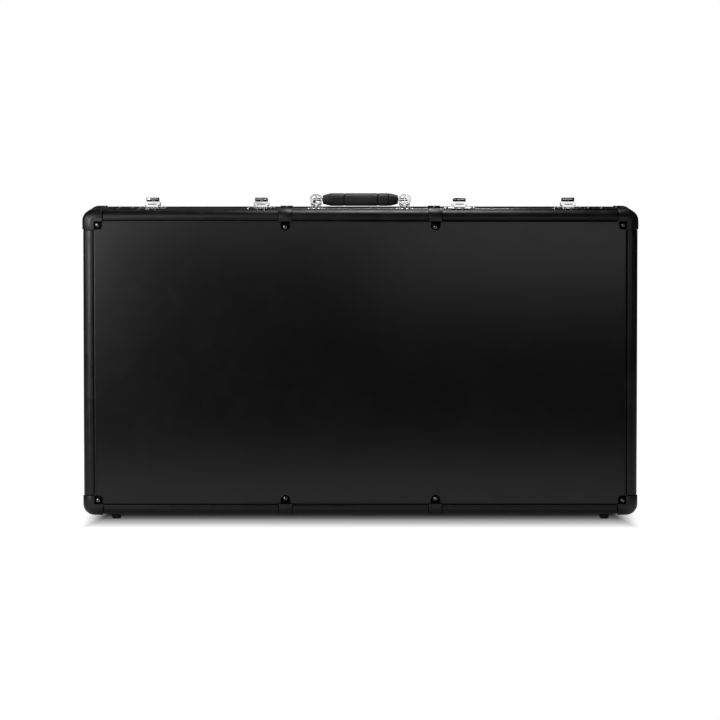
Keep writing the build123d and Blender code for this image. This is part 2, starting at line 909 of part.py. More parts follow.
def handle_pins():
    """The pins that the handle turns on."""
    length = handle_eye_width + 2 * (handle_side_play + handle_ear) + 2 * pin_head_length
    pins = []
    for sx in (-1, 1):
        start = (sx * bracket_spacing / 2 - length / 2, parting_y + handle_pin_y, top_z + handle_pin_z)
        pins.append(rod(handle_pin_radius, start, (1, 0, 0), length))
    return pins


def folded(shape):
    """A handle piece, drawn flat behind its pins, laid down at its rest angle."""
    return Pos(0, parting_y + handle_pin_y, top_z + handle_pin_z) * Rot(handle_tilt, 0, 0) * shape


def handle_core():
    """The steel strip through the grip, bent back at its ends to the two eyes."""
    half = core_thickness / 2
    outer = (bracket_spacing + handle_eye_width) / 2
    y0, y1 = handle_reach - core_width / 2, handle_reach + core_width / 2
    piece = block(-outer, outer, y0, y1, -half, half)
    outside = piece.edges().filter_by(Axis.Z).group_by(Axis.Y)[-1]
    piece = fillet(outside, core_width / 2)
    for sx in (-1, 1):
        middle = sx * bracket_spacing / 2
        start = middle - handle_eye_width / 2
        piece += block(start, start + handle_eye_width, 0, y0 + overrun, -half, half)
        piece += rod(handle_eye_radius, (start, 0, 0), (1, 0, 0), handle_eye_width)
        piece -= rod(handle_pin_radius + running_play, (start, 0, 0), (1, 0, 0), handle_eye_width)
    return piece


def grip():
    """The moulded grip: a full middle and two tapered ends."""
    full = Rectangle(grip_depth, grip_height)
    full = fillet(full.vertices(), grip_round)
    small = Rectangle(grip_end_depth, grip_end_height)
    small = fillet(small.vertices(), grip_end_round)

    def slice_at(x, shape):
        return Plane(origin=(x, handle_reach, 0), x_dir=(0, 1, 0), z_dir=(1, 0, 0)) * shape

    half = grip_body_length / 2
    end = grip_length / 2
    piece = extrude(slice_at(-half, full), amount=grip_body_length)
    piece += loft([slice_at(half, full).face(), slice_at(end, small).face()])
    piece += loft([slice_at(-end, small).face(), slice_at(-half, full).face()])
    slot = block(
        -end - overrun,
        end + overrun,
        handle_reach - core_width / 2,
        handle_reach + core_width / 2,
        -core_thickness / 2,
        core_thickness / 2,
    )
    return piece - slot


# Foam and divider


def foam_corner(depth):
    """How much of a foam corner is cut off to clear a post's core, where its faces lie at a depth."""
    return post_core + board_inner - 2 * depth + 2 * foam_play


def foam_slab(y0, y1):
    """A slab of foam across a shell, inside its rim."""
    depth = board_inner + rim_lip
    reach = half_length - depth
    slab = block(-reach, reach, y0, y1, bottom_z + depth, top_z - depth)
    return chamfer(slab.edges().filter_by(Axis.Y), foam_corner(depth))


def foam_floor():
    """Foam over the back board."""
    y1 = back_y - board_inner - foam_play
    return foam_slab(y1 - foam, y1)


def foam_sides():
    """Four foam strips on the base's walls, between the foam floor and the rim."""
    y0 = parting_y + rim_leg
    y1 = back_y - board_inner - 2 * foam_play - foam
    depth = board_inner + foam_play
    outer = half_length - depth
    low, high = bottom_z + depth, top_z - depth
    upper = block(-outer, outer, y0, y1, high - foam, high)
    lower = block(-outer, outer, y0, y1, low, low + foam)
    strips = [
        chamfer(upper.edges().filter_by(Axis.Y).group_by(Axis.Z)[-1], foam_corner(depth)),
        chamfer(lower.edges().filter_by(Axis.Y).group_by(Axis.Z)[0], foam_corner(depth)),
    ]
    for sx in (-1, 1):
        x0, x1 = sx * outer, sx * (outer - foam)
        strips.append(block(x0, x1, y0, y1, low + foam + foam_play, high - foam - foam_play))
    return strips


def bay_divider():
    """The board between the keyboard's bay and the bay for cables."""
    reach = half_length - board_inner - 2 * foam_play - foam
    z1 = top_z - board_inner - foam_play - foam - cable_bay
    y1 = back_y - board_inner - 2 * foam_play - foam
    return block(-reach, reach, parting_y + divider_drop, y1, z1 - divider, z1)


def lid_foam_pad():
    """Foam over the lid's board."""
    y0 = front_y + board_inner + foam_play
    return foam_slab(y0, y0 + lid_foam)


# Writing the nodes


def save_shell(side, name, cap, clamp):
    """Writes the nodes that the lid and the base both have."""
    caps, clamps, braces = cap_spots(side), clamp_spots(side), brace_spots(side)
    hinges, screws = hinge_spots(side), foot_spots(side)
    latch_spots = moved_spots(plate_spots() if side > 0 else catch_spots())
    small = hinges + latch_spots + (bracket_spots() if side > 0 else [])
    face_name = "front_panel" if side < 0 else "back_panel"
    save(face_name, drilled(face_panel(side), caps + clamps))
    for place in ("top", "bottom", "left", "right"):
        piece = drilled(wall(side, place), caps + clamps + braces)
        piece = drilled(piece, small, small_shank_radius)
        save(f"{name}_{place}_wall", drilled(piece, screws, screw_shank_radius))
    save(f"{name}_frame_long", group(long_edges(side)))
    save(f"{name}_frame_short", group(short_edges(side)))
    save(f"{name}_corner_posts", group(corner_posts(side)))
    lengths = []
    for piece in rim(side):
        lengths.append(drilled(drilled(piece, braces), small, small_shank_radius))
    save(f"{name}_rim", group(lengths))
    save(f"{name}_corners", group([drilled(piece, caps) for piece in placed_corners(cap, side)]))
    save(f"{name}_edge_clamps", group([drilled(piece, clamps) for piece in placed_clamps(clamp, side)]))
    save(f"{name}_rim_corners", group([drilled(piece, braces) for piece in rim_braces(side)]))
    save(f"{name}_rivets", rivets(caps + clamps + braces))
    save(f"{name}_feet", group(feet(side)))
    save(f"{name}_foot_screws", group(foot_screws(side)))
    save(f"{name}_hinge_leaves", group(hinge_leaves(side)))
    save(f"{name}_small_rivets", rivets(small, small=True))


def save_latches():
    """Writes the latches: shared fixed pieces, and each latch's own lever, lock and claw."""
    plate, pin, hook = latch_plate_piece(), latch_pin(), catch()
    save("latch_base_plates", group([at_latch(x, plate) for x in latch_places]))
    save("latch_pivot_pins", group([at_latch(x, pin) for x in latch_places]))
    save("latch_catches", group([at_latch(x, hook) for x in latch_places]))
    lever_piece, lock_piece, claw_piece = lever(), lock_cylinder(), claw()
    for number, x in enumerate(latch_places, 1):
        save(f"latch_lever_{number}", at_latch(x, lever_piece))
        save(f"latch_lock_{number}", at_latch(x, lock_piece))
        save(f"latch_claw_{number}", at_latch(x, claw_piece))


def save_handle():
    """Writes the handle, its brackets and pins."""
    save("handle_brackets", group(brackets()))
    save("handle_pivot_pins", group(handle_pins()))
    save("handle_core", folded(handle_core()))
    save("handle_grip", folded(grip()))


def main():
    """Builds every node."""
    os.makedirs("parts", exist_ok=True)
    cap, clamp = corner_cap(), edge_clamp()
    for side, name in shells:
        save_shell(side, name, cap, clamp)
    save("hinge_pins", group(hinge_pins()))
    save("base_foam_floor", foam_floor())
    save("base_foam_sides", group(foam_sides()))
    save("cable_bay_divider", bay_divider())
    save("lid_foam", lid_foam_pad())
    save_latches()
    save_handle()


main()
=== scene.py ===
"""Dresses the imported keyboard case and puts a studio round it.

The case stands upright on its hinge side. X runs along it, its lid faces -Y, and Z is up. Sizes are metres.
"""

import logging
from collections.abc import Iterable, Sequence
from dataclasses import dataclass
from enum import Enum
from itertools import product
from math import atan2, cos, hypot, pi, radians, sin

import bmesh
import bpy
from mathutils import Matrix, Vector, noise


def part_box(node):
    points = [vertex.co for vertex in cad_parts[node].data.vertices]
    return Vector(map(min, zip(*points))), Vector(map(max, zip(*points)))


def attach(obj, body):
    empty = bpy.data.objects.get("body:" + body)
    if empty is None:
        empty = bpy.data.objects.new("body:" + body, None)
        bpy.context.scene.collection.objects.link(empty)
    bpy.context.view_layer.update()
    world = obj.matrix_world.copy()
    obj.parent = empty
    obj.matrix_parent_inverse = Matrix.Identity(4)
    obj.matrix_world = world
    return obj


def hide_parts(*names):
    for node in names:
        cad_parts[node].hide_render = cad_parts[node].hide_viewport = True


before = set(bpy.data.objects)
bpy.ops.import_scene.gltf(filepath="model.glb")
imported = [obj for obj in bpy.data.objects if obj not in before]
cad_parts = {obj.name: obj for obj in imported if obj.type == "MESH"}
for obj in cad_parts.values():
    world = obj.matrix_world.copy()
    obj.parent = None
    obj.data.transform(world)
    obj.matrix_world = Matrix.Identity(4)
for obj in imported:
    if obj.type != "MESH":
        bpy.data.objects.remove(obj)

log = logging.getLogger("keyboard_case")

Pair = tuple[float, float]
Point = tuple[float, float, float]
Colour = tuple[float, float, float]
Socket = bpy.types.NodeSocket
Sockets = bpy.types.bpy_prop_collection
Shape = bmesh.types.BMesh
Face = bmesh.types.BMFace

WELD = 0.000002
"""Points of a CAD mesh closer than this are one point."""
FLAT = radians(0.4)
"""Faces of a CAD mesh that meet at less than this angle are one face."""
SHARP = radians(28)
"""Faces that meet at more than this angle have an edge between them."""
CREASE = radians(40)
"""Edges of a rounded piece above this angle stay sharp in its shading."""
BEND = radians(24)
"""Edges of a swept section above this angle stay sharp in its shading."""
SLIGHT = 0.008
"""Faces that meet at less than this angle, in radians, aren't part of a curve."""
NARROW = 0.003
"""A curve's faces are narrower than this."""
SHORT = 1.2
"""Edges shorter than this many roundings aren't rounded."""
ACROSS = 2
"""A rounding has this many faces across."""
SPECK = 0.000002
"""Faces smaller than this area are left out of a slot."""
STRAIGHT = 0.999
"""A front face's direction follows the Y axis at least this far."""
ON_FACE = 0.0001
"""Points of a pad this near its open face lie on it."""

DUST: Colour = (0.2, 0.195, 0.185)
# Painted shade: the near-black that bright metal takes on faces marked as lying in a gap.
PAINTED_GAP_SHADE: Colour = (0.004, 0.004, 0.004)


class Axis(Enum):
    """A direction of the case that a drawn finish follows, with how it stretches the finish's noise."""

    X = (0.02, 1.0, 1.0)
    Y = (1.0, 0.02, 1.0)
    Z = (1.0, 1.0, 0.02)
    ROUND_X = (1.0, 0.05, 0.05)


class Shell(Enum):
    """The two halves of the case, with the side of the parting plane that each is on."""

    LID = -1
    BASE = 1

    @property
    def word(self) -> str:
        """The first word of this half's node names."""
        return self.name.lower()


# Node trees


class Sheet:
    """A node tree with short calls for adding its nodes and joining them."""

    def __init__(self, tree: bpy.types.NodeTree) -> None:
        """Starts on the tree that nodes are added to."""
        self.tree = tree

    @classmethod
    def blank(cls, owner: bpy.types.Material | bpy.types.World) -> "Sheet":
        """Empties a node tree and starts on it.

        Args:
            owner: The material or the surroundings with the tree.

        Returns:
            The sheet on the empty tree.
        """
        owner.use_nodes = True
        owner.node_tree.nodes.clear()
        return cls(owner.node_tree)

    def add(self, kind: str, inputs: dict | None = None, **settings) -> bpy.types.Node:
        """Adds a node.

        Args:
            kind: The node's class name.
            inputs: Values or sockets for the node's inputs, by name or number.
            **settings: The node's own properties.

        Returns:
            The new node.
        """
        node = self.tree.nodes.new(kind)
        for name, value in settings.items():
            setattr(node, name, value)
        for key, value in (inputs or {}).items():
            if isinstance(value, Socket):
                self.tree.links.new(value, node.inputs[key])
            else:
                node.inputs[key].default_value = value
        return node

    def first(self, kind: str, inputs: dict | None = None, **settings) -> Socket:
        """Adds a node as add does, and returns its first output."""
        return self.add(kind, inputs, **settings).outputs[0]

    def math(self, operation: str, *values: object, clamp: bool = False) -> Socket:
        """Adds a Math node on sockets or numbers, clamped to 0 and 1 if asked, and returns its result."""
        return self.first("ShaderNodeMath", dict(enumerate(values)), operation=operation, use_clamp=clamp)

    def ramp(self, value: Socket, low: float, high: float, start: float = 0.0, end: float = 1.0) -> Socket:
        """Adds a smooth step: start for values below low, end for those above high."""
        inputs = {0: value, 1: low, 2: high, 3: start, 4: end}
        return self.first("ShaderNodeMapRange", inputs, interpolation_type="SMOOTHSTEP")

    def mix(self, factor: object, first: object, second: object) -> Socket:
        """Adds a colour mix.

        Args:
            factor: How much of the second colour shows.
            first: A colour or socket.
            second: A colour or socket.

        Returns:
            The mixed colour's socket.
        """
        inputs = {0: factor, 6: first, 7: second}
        for key in (6, 7):
            if isinstance(inputs[key], tuple):
                inputs[key] = (*inputs[key], 1.0)
        return self.add("ShaderNodeMix", inputs, data_type="RGBA").outputs[2]

    def noise(self, place: Socket, scale: object, detail: float, distortion: float = 0.0) -> Socket:
        """Adds a noise texture and returns its value."""
        inputs = {"Vector": place, "Scale": scale, "Detail": detail, "Distortion": distortion}
        return self.first("ShaderNodeTexNoise", inputs)


class Effect:
    """A shader node group that is built once and shared by the finishes that use it.

    Attributes:
        name: The group's name.
        inputs: Its inputs with their defaults, None for a vector.
        outputs: Its outputs, all of them numbers.
    """

    name = "effect"
    inputs: dict[str, float | None] = {}
    outputs: tuple[str, ...] = ()

    def tree(self) -> bpy.types.NodeTree:
        """Finds the group's tree, or builds it on first use.

        Returns:
            The group's node tree.
        """
        known = bpy.data.node_groups.get(self.name)
        if known:
            return known
        tree = bpy.data.node_groups.new(self.name, "ShaderNodeTree")
        for name, value in self.inputs.items():
            kind = "NodeSocketVector" if value is None else "NodeSocketFloat"
            socket = tree.interface.new_socket(name, in_out="INPUT", socket_type=kind)
            if value is not None:
                socket.default_value = value
        for name in self.outputs:
            tree.interface.new_socket(name, in_out="OUTPUT", socket_type="NodeSocketFloat")
        sheet = Sheet(tree)
        results = self.draw(sheet, sheet.add("NodeGroupInput").outputs)
        sheet.add("NodeGroupOutput", dict(zip(self.outputs, results)))
        return tree

    def draw(self, sheet: Sheet, given: Sockets) -> Sequence[Socket]:
        """Adds the group's nodes.

        Args:
            sheet: The group's tree.
            given: The group's inputs.

        Returns:
            One socket for each of the group's outputs.
        """
        raise NotImplementedError

    def place(self, sheet: Sheet, **values: object) -> bpy.types.Node:
        """Puts the group in a material's tree, with values for its inputs, and returns its node."""
        inputs = {name.capitalize(): value for name, value in values.items()}
        return sheet.add("ShaderNodeGroup", inputs, node_tree=self.tree())


class FineGrain(Effect):
    """The pebbled grain of laminate, cast plastic and thick paint."""

    name = "fine_grain"
    inputs = {"Place": None, "Pebble": 800.0}
    outputs = ("Height", "Tone")

    def draw(self, sheet: Sheet, given: Sockets) -> Sequence[Socket]:
        """Adds cells broken up by noise. See Effect.draw."""
        place, pebble = given["Place"], given["Pebble"]
        cells = sheet.first("ShaderNodeTexVoronoi", {"Vector": place, "Scale": pebble}, feature="SMOOTH_F1")
        bumps = sheet.math("MULTIPLY", cells, 0.6)
        fine = sheet.math("MULTIPLY", sheet.noise(place, pebble, 3.0), 0.4)
        return sheet.math("ADD", bumps, fine), sheet.noise(place, 9.0, 4.0)


class DrawnLines(Effect):
    """Fine lines along an extrusion or a brushed sheet."""

    name = "drawn_lines"
    inputs = {"Place": None, "Lines": 1500.0}
    outputs = ("Height",)

    def draw(self, sheet: Sheet, given: Sockets) -> Sequence[Socket]:
        """Adds noise, which the material's mapping stretches into lines. See Effect.draw."""
        return (sheet.noise(given["Place"], given["Lines"], 2.0),)


class EdgeWear(Effect):
    """Patches along marked edges that take the worn colour: rubbed paint, and on chrome painted dark shade.
    """

    name = "edge_wear_and_shade"
    inputs = {"Place": None, "Edge": 0.0, "Amount": 0.3}
    outputs = ("Mask",)

    def draw(self, sheet: Sheet, given: Sockets) -> Sequence[Socket]:
        """Adds patches along the edges that the mesh marks. See Effect.draw."""
        limit = sheet.math("SUBTRACT", 0.82, sheet.math("MULTIPLY", given["Amount"], 0.5))
        above = sheet.math("SUBTRACT", sheet.noise(given["Place"], 70.0, 6.0), limit)
        return (sheet.math("MULTIPLY", sheet.math("MULTIPLY", above, 9.0, clamp=True), given["Edge"]),)


class DustAndSmudges(Effect):
    """A little dust on faces that look up, and smudges that change the gloss."""

    name = "dust_and_smudges"
    inputs = {"Place": None, "Facing": None, "Amount": 0.3}
    outputs = ("Dust", "Smudge")

    def draw(self, sheet: Sheet, given: Sockets) -> Sequence[Socket]:
        """Adds speckles weighted by how far a face looks up, and soft smears. See Effect.draw."""
        place = given["Place"]
        up = sheet.add("ShaderNodeSeparateXYZ", {0: given["Facing"]}).outputs[2]
        specks = sheet.ramp(sheet.noise(place, 260.0, 8.0), 0.45, 0.75)
        fall = sheet.ramp(up, 0.1, 0.9, 0.15, 1.0)
        spread = sheet.math("MULTIPLY", specks, sheet.noise(place, 6.0, 3.0))
        dust = sheet.math("MULTIPLY", sheet.math("MULTIPLY", spread, fall), given["Amount"])
        return dust, sheet.ramp(sheet.noise(place, 22.0, 5.0, 1.4), 0.4, 0.68)


# Finishes


@dataclass(frozen=True)
class Finish:
    """One surface finish, made from a Principled shader and the shared effects.

    Attributes:
        slot: The record's material slot that the finish stands for.
        colour: The surface's colour.
        roughness: How dull the surface is where it is clean.
        metallic: 1 for bare metal, 0 otherwise.
        pebble: Grains to the metre.
        relief: The grain's height in metres.
        lines: The direction of drawn lines, if there are any.
        line_count: The lines to the metre.
        line_relief: The lines' height in metres.
        tone: How far the colour varies over the surface.
        worn: The colour along marked edges: rubbed paint, and on chrome painted dark shade.
        wear: How much of the marked edges takes the worn colour, from 0 to 1.
        dust: How much dust lies on it.
        smudge: How much rougher a smudge is.
        gaps: Whether faces marked as lying in a gap are painted dead black, as shade.
        bright: Whether it is bright metal, painted near-black as shade on faces marked as lying in a gap.
        sheen: The weight of a fabric's sheen.
    """

    slot: str
    colour: Colour
    roughness: float
    metallic: float = 0.0
    pebble: float = 900.0
    relief: float = 0.00003
    lines: Axis | None = None
    line_count: float = 1500.0
    line_relief: float = 0.000006
    tone: float = 0.25
    worn: Colour = (0.16, 0.16, 0.165)
    wear: float = 0.0
    dust: float = 0.3
    smudge: float = 0.12
    gaps: bool = False
    bright: bool = False
    sheen: float = 0.0

    @property
    def name(self) -> str:
        """The material's name."""
        return self.slot + ("_" + self.lines.name.lower() if self.lines else "")

    def material(self) -> bpy.types.Material:
        """Finds the finish's material, or builds it on first use.

        Returns:
            The material.
        """
        known = bpy.data.materials.get("finish_" + self.name)
        if known:
            return known
        made = bpy.data.materials.new("finish_" + self.name)
        sheet = Sheet.blank(made)
        coords = sheet.add("ShaderNodeTexCoord").outputs
        place = coords["Object"]
        edge = sheet.add("ShaderNodeAttribute", attribute_name="edge").outputs["Fac"]
        shaded = sheet.add("ShaderNodeAttribute", attribute_name="gap").outputs["Fac"]
        grain = FineGrain().place(sheet, place=place, pebble=self.pebble)
        rubbed = EdgeWear().place(sheet, place=place, edge=edge, amount=self.wear)
        dirt = DustAndSmudges().place(sheet, place=place, facing=coords["Normal"], amount=self.dust)
        deep = tuple(value * (1 - self.tone) for value in self.colour)
        pale = tuple(min(1.0, value * (1 + self.tone)) for value in self.colour)
        colour = sheet.mix(sheet.ramp(grain.outputs["Tone"], 0.3, 0.7), deep, pale)
        # Marked edges take the worn colour: rubbed paint, and on chrome a painted dark outline standing in
        # for shade.
        colour = sheet.mix(rubbed.outputs["Mask"], colour, self.worn)
        colour = sheet.mix(dirt.outputs["Dust"], colour, DUST)
        # Painted shade: bright metal turns near-black on faces marked as lying in a gap.
        if self.bright:
            colour = sheet.mix(shaded, colour, PAINTED_GAP_SHADE)
        smeared = sheet.math("MULTIPLY", dirt.outputs["Smudge"], self.smudge)
        dull = sheet.math("ADD", smeared, self.roughness)
        roughness = sheet.math("ADD", dull, dirt.outputs["Dust"], clamp=True)
        bump = sheet.first("ShaderNodeBump", {"Height": grain.outputs["Height"], "Distance": self.relief})
        if self.lines:
            stretch = sheet.first("ShaderNodeMapping", {"Vector": place, "Scale": self.lines.value})
            drawn = DrawnLines().place(sheet, place=stretch, lines=self.line_count)
            inputs = {"Height": drawn.outputs[0], "Distance": self.line_relief, "Normal": bump}
            bump = sheet.first("ShaderNodeBump", inputs)
        # Painted shade: with gaps, faces marked as lying in a gap turn metallic with the near-black colour
        # and reflect almost nothing.
        inputs = {
            "Base Color": colour,
            "Roughness": roughness,
            "Metallic": shaded if self.gaps else max(self.metallic, float(self.bright)),
            "Normal": bump,
            "Sheen Weight": self.sheen,
            "Sheen Roughness": 0.5,
        }
        shader = sheet.first("ShaderNodeBsdfPrincipled", inputs)
        sheet.add("ShaderNodeOutputMaterial", {"Surface": shader})
        return made


LAMINATE = Finish(
    "laminated_board", (0.0018, 0.0018, 0.0019), 0.285, pebble=650, relief=0.00004, dust=0.01, smudge=0.02
)
EXTRUSIONS = {
    axis: Finish(
        "frame_black", (0.0025, 0.0025, 0.0027), 0.34, lines=axis, relief=0.00001, dust=0.02, gaps=True
    )
    for axis in (Axis.X, Axis.Y, Axis.Z)
}
PRESSED = Finish(
    "pressed_black", (0.003, 0.003, 0.0032), 0.36, relief=0.00006, wear=0.15, dust=0.03, gaps=True
)
RIVET = Finish("black_rivet", (0.2, 0.2, 0.205), 0.12, metallic=1.0, relief=0.000004, dust=0.02)
# Chrome takes a near-black worn colour at full wear: painted dark outlines on nearly all its rounded edges,
# standing in for shade.
CHROME = Finish(
    "chrome", (0.85, 0.85, 0.86), 0.07, relief=0.000004, tone=0.04, worn=(0.04, 0.04, 0.042), wear=1.0,
    dust=0.05, bright=True,
)
STEEL = Finish(
    "steel", (0.42, 0.42, 0.43), 0.32, metallic=1.0, relief=0.00001, tone=0.12, worn=(0.6, 0.6, 0.6), wear=0.4
)
LOCK = Finish("lock_metal", (0.55, 0.55, 0.56), 0.2, metallic=1.0, relief=0.000006, tone=0.08, dust=0.1)
GRIP = Finish(
    "grip_black", (0.02, 0.02, 0.0202), 0.5, pebble=420, relief=0.0006, lines=Axis.ROUND_X,
    line_count=300.0, line_relief=0.0008, dust=0.03, gaps=True,
)
RUBBER = Finish("foot_rubber", (0.012, 0.012, 0.012), 0.75, pebble=1300, relief=0.00006, dust=0.5)
FOAM = Finish(
    "foam_grey", (0.03, 0.03, 0.033), 0.95, pebble=1600, relief=0.0005, tone=0.2, dust=0.1, sheen=0.2
)
FELT = Finish("divider_board", (0.024, 0.024, 0.026), 0.95, pebble=2200, relief=0.0003, dust=0.2, sheen=0.4)


# Meshes and pieces


def linked(name: str, data: bpy.types.ID) -> bpy.types.Object:
    """Makes an object and puts it in the scene.

    Args:
        name: The object's name.
        data: Its mesh, lamp or camera.

    Returns:
        The object.
    """
    made = bpy.data.objects.new(name, data)
    bpy.context.scene.collection.objects.link(made)
    return made


def corner_layer(shape: Shape, name: str = "edge") -> bmesh.types.BMLayerItem:
    """A mesh's face-corner layer of marks for edges that take the worn colour and for gaps painted black as
    shade, made if it wasn't there.
    """
    layers = shape.loops.layers.float
    return layers.get(name) or layers.new(name)


def mark(faces: Iterable[Face], layer: bmesh.types.BMLayerItem, value: float = 1.0) -> None:
    """Writes one value on all corners of some faces.

    Args:
        faces: The faces.
        layer: The layer that is written.
        value: The value.
    """
    for face in faces:
        for loop in face.loops:
            loop[layer] = value


def merged(node: str) -> Shape:
    """Copies a CAD node's loose triangles, joined and with its flat faces whole.

    Args:
        node: The node's name.

    Returns:
        The copy.
    """
    shape = bmesh.new()
    shape.from_mesh(bpy.data.objects[node].data)
    bmesh.ops.remove_doubles(shape, verts=shape.verts, dist=WELD)
    bmesh.ops.dissolve_limit(shape, angle_limit=FLAT, verts=shape.verts, edges=shape.edges)
    return shape


def soften(shape: Shape, width: float) -> None:
    """Rounds outer edges, marks them for the worn colour and chrome's painted shade, and shades curves
    smooth.

    Args:
        shape: The mesh.
        width: The rounding's width.
    """
    layer = corner_layer(shape)
    edges = [
        edge
        for edge in shape.edges
        if edge.is_convex and edge.calc_face_angle(0) > SHARP and edge.calc_length() > SHORT * width
    ]
    made = bmesh.ops.bevel(
        shape, geom=edges, offset=width, segments=ACROSS, profile=0.5, affect="EDGES", clamp_overlap=False
    )
    rounded = set(made["faces"])
    mark(rounded, layer)
    for edge in shape.edges:
        edge.smooth = edge.calc_face_angle(0) < CREASE
    for face in shape.faces:
        soft = sum(1 for edge in face.edges if SLIGHT < edge.calc_face_angle(0) < SHARP)
        breadth = face.calc_area() / max(edge.calc_length() for edge in face.edges)
        face.smooth = face in rounded or (soft >= 2 and breadth < NARROW)


def piece(
    node: str, shape: Shape | bpy.types.Mesh, finish: Finish, body: str, name: str = ""
) -> bpy.types.Object:
    """Makes a finished piece that stands in for a CAD node.

    Args:
        node: The node.
        shape: The piece's mesh.
        finish: Its finish.
        body: The body that it moves with.
        name: What its own name starts with, if not with the node's.

    Returns:
        The piece's object.
    """
    name = (name or node) + "_dressed"
    mesh = shape
    if isinstance(shape, Shape):
        mesh = bpy.data.meshes.new(name)
        shape.to_mesh(mesh)
        shape.free()
    mesh.materials.clear()
    mesh.materials.append(finish.material())
    made = linked(name, mesh)
    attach(made, body)
    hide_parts(node)
    log.info("%s: %d faces", name, len(mesh.polygons))
    return made


@dataclass
class Assembly:
    """A sub-assembly of the case.

    Attributes:
        rounding: How wide the pieces' edges are rounded.
    """

    rounding: float = 0.0003

    def softened(self, node: str, rounding: float | None = None) -> Shape:
        """Copies a CAD node with its edges rounded.

        Args:
            node: The node's name.
            rounding: The width of its rounded edges, if not the assembly's.

        Returns:
            The copy.
        """
        shape = merged(node)
        soften(shape, self.rounding if rounding is None else rounding)
        return shape

    def from_cad(self, node: str, finish: Finish, body: str, rounding: float | None = None) -> None:
        """Stands a softened copy in for a CAD node."""
        piece(node, self.softened(node, rounding), finish, body)

    def build(self) -> None:
        """Makes and dresses the pieces."""
        raise NotImplementedError


# The case


@dataclass
class Boards(Assembly):
    """The laminated boards, which keep their CAD meshes."""

    places: tuple[str, ...] = ("top_wall", "bottom_wall", "left_wall", "right_wall")

    def build(self) -> None:
        """Gives every board its laminate."""
        nodes = ["front_panel", "back_panel"]
        nodes += [f"{shell.word}_{place}" for shell in Shell for place in self.places]
        for node in nodes:
            slots = bpy.data.objects[node].data.materials
            slots.clear()
            slots.append(LAMINATE.material())
        log.info("boards: %d dressed", len(nodes))


@dataclass(frozen=True)
class EdgeSection:
    """The section of an extrusion over a case edge, the same on both sides of the edge.

    Attributes:
        nose: The radius of its rounded nose.
        leg: How far its flanges reach.
        skin: How deep the boards' faces lie below its own.
        core: How far its core reaches in.
        facets: How many faces the nose has.
    """

    nose: float
    leg: float
    skin: float = 0.002
    core: float = 0.010
    facets: int = 18

    def flange(self) -> list[Point]:
        """Draws one flange, from the nose to the board.

        Returns:
            The outline's points: distance, depth, and 1 in the groove, which is painted black as shade.
        """
        nose, leg = self.nose, self.leg
        ridge = (nose + leg) / 2 - 0.0005
        return [
            (nose, 0.0, 0.0),
            (nose + 0.0003, 0.0005, 0.0),
            (ridge - 0.0005, 0.0005, 0.0),
            (ridge, 0.00015, 0.0),
            (ridge + 0.0006, 0.0002, 0.0),
            (leg - 0.0008, 0.0006, 0.0),
            (leg - 0.0007, 0.0012, 1.0),
            (leg - 0.0006, 0.0017, 1.0),
            (leg + 0.0008, 0.0017, 1.0),
            (leg + 0.0009, 0.0015, 1.0),
            (leg + 0.0011, 0.0014, 0.0),
            (leg + 0.0027, 0.0010, 0.0),
            (leg + 0.0030, 0.0015, 0.0),
            (leg + 0.0031, self.skin, 0.0),
        ]

    def outline(self) -> list[Point]:
        """Draws the whole section: two flanges, the nose between them, and the core inside.

        Returns:
            The outline's points, as in flange.
        """
        first = self.flange()
        second = [(depth, distance, groove) for distance, depth, groove in first]
        angles = [pi / 2 * step / self.facets for step in range(1, self.facets)]
        arc = [(self.nose * (1 - sin(angle)), self.nose * (1 - cos(angle)), 0.0) for angle in angles]
        inside = [(self.skin, self.core, 0.0), (self.core, self.core, 0.0), (self.core, self.skin, 0.0)]
        return [*reversed(first), *arc, *second, *inside]


@dataclass(frozen=True)
class Gap:
    """A narrow shadow gap across an extrusion, beside the end of a pressing, its faces painted black as
    shade.

    Attributes:
        place: Where the gap starts along the extrusion.
        width: How wide it is.
        depth: How far the extrusion sinks in it.
        lean: How much of its width each of its sides leans.
    """

    place: float
    width: float = 0.0015
    depth: float = 0.0007
    lean: float = 0.1

    def stations(self) -> list[Pair]:
        """The places along the extrusion where it bends, each with its depth there."""
        end, lip = self.place + self.width, self.width * self.lean
        return [(self.place, 0.0), (self.place + lip, self.depth), (end - lip, self.depth), (end, 0.0)]


def sweep(
    shape: Shape,
    outline: Sequence[Point],
    origin: Vector,
    sides: tuple[Vector, Vector],
    ends: Pair,
    along: Vector,
    gaps: Sequence[Gap] = (),
) -> None:
    """Sweeps a section straight, with gaps across it, and closes its ends.

    Args:
        shape: The mesh that the sweep is added to.
        outline: The section's points, each with its groove mark, which paints shade black.
        origin: A point on the case edge that the section hangs from.
        sides: The directions of the section's two measures.
        ends: Where the sweep starts and stops.
        along: The direction of the sweep.
        gaps: The gaps across it.
    """
    layer = corner_layer(shape, "gap")
    stations = [(ends[0], 0.0)]
    for gap in sorted(gaps, key=lambda gap: gap.place):
        stations += gap.stations()
    stations.append((ends[1], 0.0))
    rings = []
    for place, sunk in stations:
        base = origin + along * place + (sides[0] + sides[1]) * sunk
        rings.append([shape.verts.new(base + sides[0] * u + sides[1] * v) for u, v, _ in outline])
    made = []
    count = len(outline)
    for (_, near), (_, far), first, second in zip(stations, stations[1:], rings, rings[1:]):
        for index in range(count):
            after = (index + 1) % count
            face = shape.faces.new((first[index], first[after], second[after], second[index]))
            # Painted shade: faces in a gap or in the section's groove are marked to render black.
            groove = max(near, far) > 0 or min(outline[index][2], outline[after][2]) > 0
            mark([face], layer, float(groove))
            made.append(face)
    caps = [shape.faces.new(rings[0]), shape.faces.new(reversed(rings[-1]))]
    bmesh.ops.recalc_face_normals(shape, faces=made + caps)
    for face in made:
        face.smooth = True
        for edge in face.edges:
            edge.smooth = edge.calc_face_angle(0) < BEND


